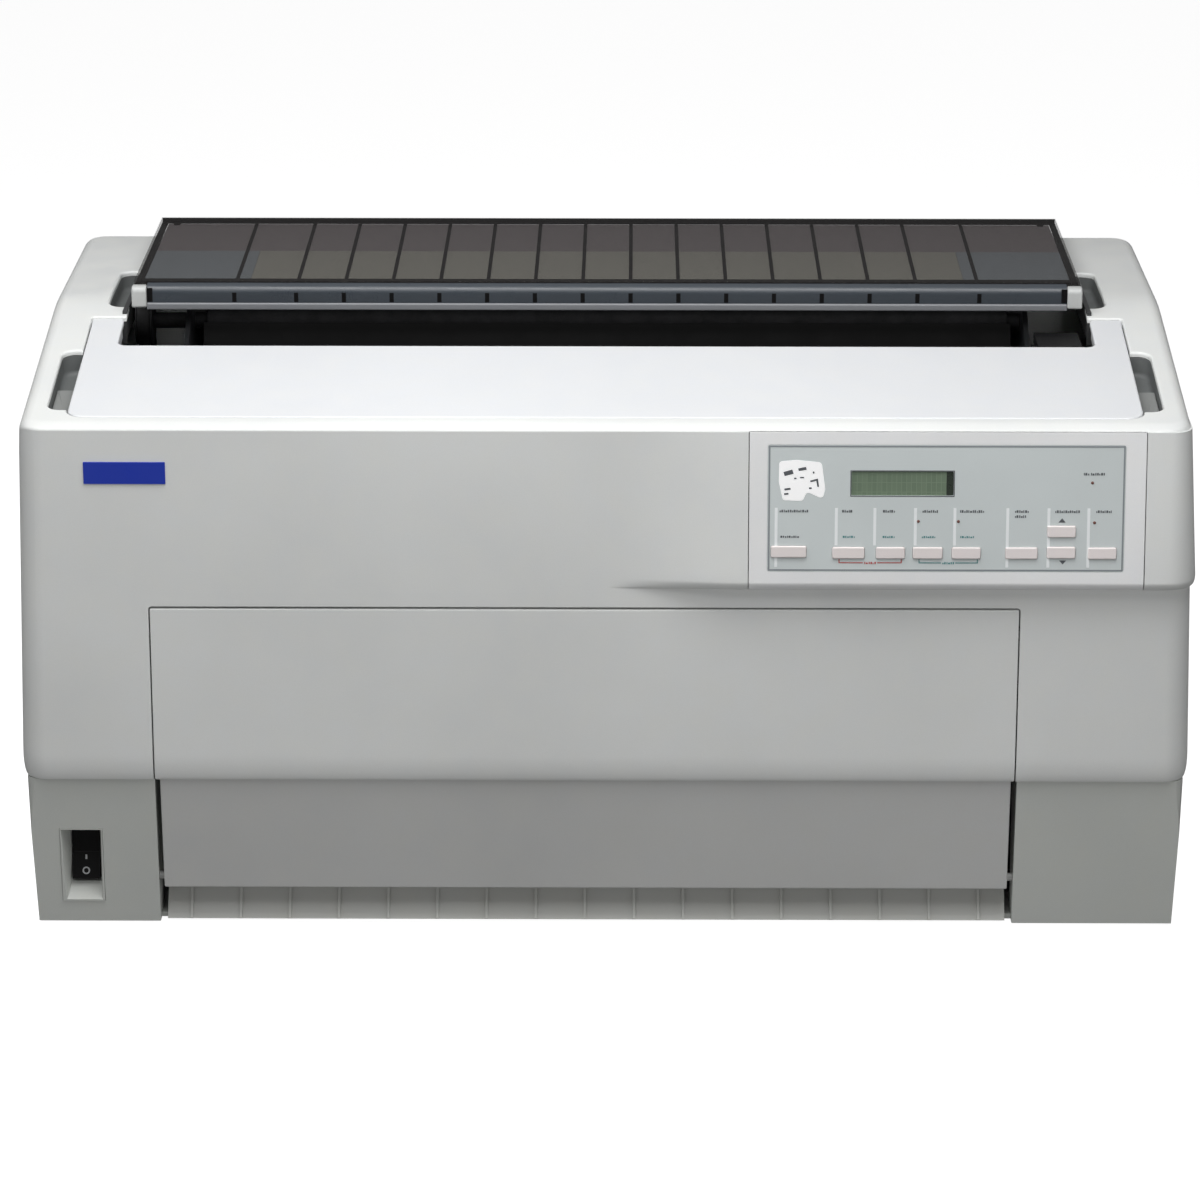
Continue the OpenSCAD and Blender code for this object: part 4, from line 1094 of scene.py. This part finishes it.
# pale separator lines, in the white print with its painted glow
bars = []
for x, low_y in ((100.6, 13.4), (135.9, 26.5), (158.5, 26.5), (182.3, 26.5), (205.4, 26.5), (236.4, 13.4), (260.5, 13.4), (283.9, 13.4)):
    bars.append((x - 0.85, x + 0.85, low_y, 48.9))
prints("panel_print_bars", "ink_white", bars)


# rows of short printed strokes
def dashes(x, y, w, h=1.5, gap=0.5):
    out, t = [], x
    k = 0
    while t < x + w - 0.4:
        s = (0.55, 0.9, 0.7, 1.1)[(k * 7 + int(x)) % 4]
        out.append((t, min(t + s, x + w), y, y + h * (1.0 if (k + int(x)) % 3 else 0.72)))
        t += s + gap * (0.7, 1.0, 0.8)[k % 3]
        k += 1
    return out


dark, teal = [], []
for x, w in ((102.6, 17.5), (139.2, 6), (163.2, 7), (186.4, 9), (208.4, 14), (240.6, 8), (264.2, 15), (288.2, 9)):
    dark += dashes(x, 46.2, w)
for x, w in ((240.6, 6.5), (284.6, 8.5)):
    dark += dashes(x, 43.2 if x < 280 else 68.6, w)
dark += dashes(280.4, 68.6, 3.4)
for x, w in ((139.8, 7), (163.2, 7), (186.2, 8), (208.8, 8)):
    teal += dashes(x, 31.0, w, 1.2)
dark += dashes(103.2, 31.0, 11, 1.2)
tri_up = [(266.2, 40.4), (270.4, 40.4), (268.3, 43.0)]
tri_dn = [(267.0, 18.0), (269.1, 15.6), (271.2, 18.0)]
prints("panel_print_legends", "ink_dark", dark, [tri_up, [(267.0, 17.7), (269.1, 15.3), (271.2, 17.7)]])
prints("panel_print_legends_second", "ink_teal", teal)


def bracket(xa, xb, y, drop):
    """Flat bracket under two keys with a gap in the middle for its legend"""
    m = (xa + xb) / 2
    t = 0.55
    return [(xa, xa + t, y - drop, y), (xa + t + 0.02, m - 4.2, y - drop, y - drop + t),
            (m + 4.2, xb - t - 0.02, y - drop, y - drop + t), (xb - t, xb, y - drop, y)] + dashes(m - 3.4, y - drop - 0.5, 6.8, 1.3)


prints("panel_print_bracket_red", "ink_red", bracket(137.5, 174.6, 18.2, 2.4))
prints("panel_print_bracket_teal", "ink_teal", bracket(184.5, 219.3, 18.2, 2.4))

# white patch, with a painted glow, and plain grey pictograms of paper at the upper left of the film
patch = rounded([(102.0, 64.5), (104.5, 53.4), (116.0, 53.0), (118.5, 58.5), (127.8, 54.2), (129.2, 60), (127.0, 76.0), (112, 77.4), (102.2, 76.4)],
                (1.5, 1.5, 2, 2, 2, 1.5, 2.5, 3, 1.5), 4)
prints("panel_patch", "patch_white", [], [patch])
W0, W1 = -0.07, 0.0
sheet_a = [(104.6, 70.2), (109.8, 71.8), (110.6, 69.2), (105.4, 67.8)]
sheet_b = [(113.2, 72.4), (117.8, 73.4), (118.2, 71.6), (113.6, 70.8)]
sheet_c = [(120.2, 65.2), (124.8, 66.4), (125.6, 61.6), (124.6, 61.4), (123.9, 65.0), (120.6, 64.2)]
sheet_d = [(105.2, 60.4), (108.8, 60.9), (109.0, 59.7), (105.4, 59.2)]
sheet_e = [(105.0, 57.6), (107.6, 57.9), (107.8, 56.8), (105.2, 56.5)]
prints("panel_patch_marks", "ink_dark", [(110.9, 112.3, 66.0, 66.9), (119.6, 121.2, 60.2, 61.2), (114.4, 116.8, 66.6, 67.4), (121.8, 122.8, 69.4, 70.6)],
       [sheet_a, sheet_b, sheet_c, sheet_d, sheet_e])

# plate at the upper left of the front
plate = Geo().slab(rrect(-306.1, -257.9, 283.1, 296.5, 0.5, 3), -0.3, 0.65, 0, 0.25, front, 2)
put(plate.obj("name_plate_blank", "badge"), "printer_body", "badge", "name_plate")

# ------------------------------------------------------------------ power switch
sf = Geo().slab([(-169.2, 16.2), (-148, 16.2), (-148, 64.8), (-174.6, 64.8)], -328.8, -303.2, 0.3, 0.3, by_x, 2).obj("power_switch_bezel", "case_base")
funnel = Geo().loft([[(x, y, z) for x, z in ((x0, z0), (x1, z0), (x1, z1), (x0, z1))]
                     for y, x0, x1, z0, z1 in ((-161.4, -323.6, -305.9, 26.4, 62.6), (-180, -330.1, -302.7, 5.1, 64.6))]).obj("h")
holes = [Geo().box((-323.6, -170, 26.4), (-305.9, -150, 62.6)).obj("h"), funnel, Geo().cyl("x", (-156, 44.5), 2.05, -326, -304.2, 24).obj("h")]
csg(sf, holes)
put(sf, "printer_body", "case_base", "power_switch_frame")
rk = cad_copy("power_rocker", "power_rocker_key", "switch_black", "black_plastic")
bevel(rk, 0.6, 3, 20, 1, lambda p: -322.9 < p.x < -306.6 or abs(p.x + 314.75) < 8.3)
put(rk, "power_rocker", "black_plastic", "power_rocker")


def on_rocker(u, v, w):
    """u across from the middle, v down the lower face from its upper edge, w out of it"""
    return (-314.75 + u, -160.57 - 0.2925 * v - 0.9562 * w, 45.06 - 0.9562 * v + 0.2925 * w)


marks = Geo().slab([(-0.55, 1.9), (0.55, 1.9), (0.55, 4.7), (-0.55, 4.7)][::-1], 0.02, 0.12, m=on_rocker)
n = 24
verts = [on_rocker(r * math.cos(2 * math.pi * k / n), 11.6 + r * math.sin(2 * math.pi * k / n), w)
         for k in range(n) for r, w in ((2.3, 0.02), (2.3, 0.12), (1.45, 0.12), (1.45, 0.02))]
marks.add(verts, [(4 * k + i, 4 * k + (i + 1) % 4, 4 * ((k + 1) % n) + (i + 1) % 4, 4 * ((k + 1) % n) + i) for k in range(n) for i in range(4)])
put(marks.obj("power_rocker_marks", "mark"), "power_rocker", "black_plastic")

# ------------------------------------------------------------------ the rest of the CAD nodes keep their shape
soften("feet", "foot_rubber", 0.5)
soften("control_board", "circuit_board", 0.2)
soften("main_board", "circuit_board", 0.2)
soften("power_supply", "sheet_steel", 0.3)
soften("ac_inlet", "black_plastic", 0.5)
soften("interface_ports", "head_metal", 0.4)
# painted shade: the side frames take the dark platen finish so they read dark inside the paper slot
soften("frame_left", "platen_metal", 0.3)
soften("frame_right", "platen_metal", 0.3)
soften("cross_beams", "sheet_steel", 0.4)
soften("case_screws", "ground_steel", 0.15)
soften("platen", "platen_metal", 0.4)
soften("guide_shafts", "ground_steel", 0.5)
soften("carriage", "black_plastic", 0.5)
soften("print_head", "head_metal", 0.3)
soften("ribbon_cartridge", "black_plastic", 0.5)
soften("ribbon_knob", "gate_blue", 0.3)
soften("drive_belts", "belt_rubber", 0.2)
soften("motors", "motor_black", 0.6)
soften("motor_pulley", "ground_steel", 0.2)
soften("idler_pulley", "ground_steel", 0.2)
soften("feed_pinion", "nylon", 0.15)
soften("lower_paper_guide", "guide_grey", 0.25)
soften("inner_paper_guides", "switch_black", 0.3)
soften("exit_guide_plate", "exit_plate", 0.4)
soften("exit_roller", "roller_rubber", 0.4)
soften("front_drive_shaft", "ground_steel", 0.2)
soften("rear_drive_shaft", "ground_steel", 0.3)
for n in ("front_tractor_left", "front_tractor_right", "rear_tractor_left", "rear_tractor_right"):
    soften(n, "black_plastic", 0.4)
for n in ("front_gate_left", "front_gate_right", "rear_gate_left", "rear_gate_right"):
    soften(n, "gate_blue", 0.3)

# ------------------------------------------------------------------ floor, light
fl = bpy.data.meshes.new("floor")
R = 9.0
fl.from_pydata([(R * math.cos(math.radians(6 * k)), R * math.sin(math.radians(6 * k)), 0) for k in range(60)], [], [tuple(range(60))])
floor = bpy.data.objects.new("floor", fl)
bpy.context.scene.collection.objects.link(floor)
fm = bpy.data.materials.new("floor_pale")
fm.use_nodes = True
fm.node_tree.nodes["Principled BSDF"].inputs["Base Color"].default_value = (1.0, 1.0, 1.0, 1)
fm.node_tree.nodes["Principled BSDF"].inputs["Emission Color"].default_value = (1.0, 1.0, 1.0, 1)
fm.node_tree.nodes["Principled BSDF"].inputs["Emission Strength"].default_value = 0.9
floor.visible_diffuse = False
floor.visible_glossy = False
fm.node_tree.nodes["Principled BSDF"].inputs["Roughness"].default_value = 0.9
fm.node_tree.nodes["Principled BSDF"].inputs["Specular IOR Level"].default_value = 0.1
fl.materials.append(fm)

W_FRONT, W_REAR, W_DOWN, W_ALL = 1.22, 0.15, 0.15, 0.0
world = bpy.data.worlds.new("studio")
bpy.context.scene.world = world
world.use_nodes = True
wt = world.node_tree
bg = wt.nodes["Background"]
bg.inputs["Color"].default_value = (1, 1, 1, 1)


def calc(op, a, b):
    n = wt.nodes.new("ShaderNodeMath")
    n.operation = op
    for v, k in ((a, 0), (b, 1)):
        if hasattr(v, "node"):
            wt.links.new(v, n.inputs[k])
        else:
            n.inputs[k].default_value = v
    return n.outputs[0]


def ramp(v, a, b, c, d):
    """v from a..b to c..d, clamped"""
    n = wt.nodes.new("ShaderNodeMapRange")
    n.inputs["From Min"].default_value, n.inputs["From Max"].default_value = a, b
    n.inputs["To Min"].default_value, n.inputs["To Max"].default_value = c, d
    wt.links.new(v, n.inputs["Value"])
    return n.outputs[0]


lp = wt.nodes.new("ShaderNodeLightPath")
way = wt.nodes.new("ShaderNodeSeparateXYZ")
wt.links.new(wt.nodes.new("ShaderNodeTexCoord").outputs["Generated"], way.inputs[0])
WY, WZ = way.outputs[1], way.outputs[2]
above = ramp(WZ, -0.02, 0.02, 0.0, 1.0)
low = ramp(WZ, 0.18, 0.32, 1.0, 0.0)
ahead = ramp(WY, -0.1, 0.1, 1.0, 0.0)
# light for the matt surfaces: a bright low front, some bounce from below, little from overhead
matt = calc("ADD", calc("MULTIPLY", calc("MULTIPLY", above, low), calc("ADD", calc("MULTIPLY", ahead, W_FRONT), W_REAR)),
            calc("ADD", calc("MULTIPLY", calc("SUBTRACT", 1.0, above), W_DOWN), W_ALL))
# what glossy surfaces mirror
gloss = calc("ADD", calc("MULTIPLY", above, ramp(WZ, 0.3, 0.75, 0.0, 0.42)), 0.12)
pick = calc("ADD", calc("MULTIPLY", lp.outputs["Is Glossy Ray"], gloss), calc("MULTIPLY", calc("SUBTRACT", 1.0, lp.outputs["Is Glossy Ray"]), matt))
cam_ray = lp.outputs["Is Camera Ray"]
wt.links.new(calc("ADD", cam_ray, calc("MULTIPLY", calc("SUBTRACT", 1.0, cam_ray), pick)), bg.inputs["Strength"])


def area(name, loc, target, size, power):
    d = bpy.data.lights.new(name, "AREA")
    d.shape, d.size, d.size_y, d.energy = "RECTANGLE", size[0], size[1], power
    o = bpy.data.objects.new(name, d)
    o.location = loc
    o.rotation_euler = (Vector(target) - Vector(loc)).to_track_quat("-Z", "Y").to_euler()
    bpy.context.scene.collection.objects.link(o)
    return o


area("key_above", (-0.08, -0.40, 1.16), (-0.03, -0.17, 0.2), (1.32, 0.36), 10.1)
area("fill_front", (-0.12, -1.0, 1.3), (-0.03, -0.17, 0.2), (1.5, 0.4), 4.2)
bpy.context.scene.view_settings.view_transform = "Standard"
bpy.context.scene.view_settings.look = "None"
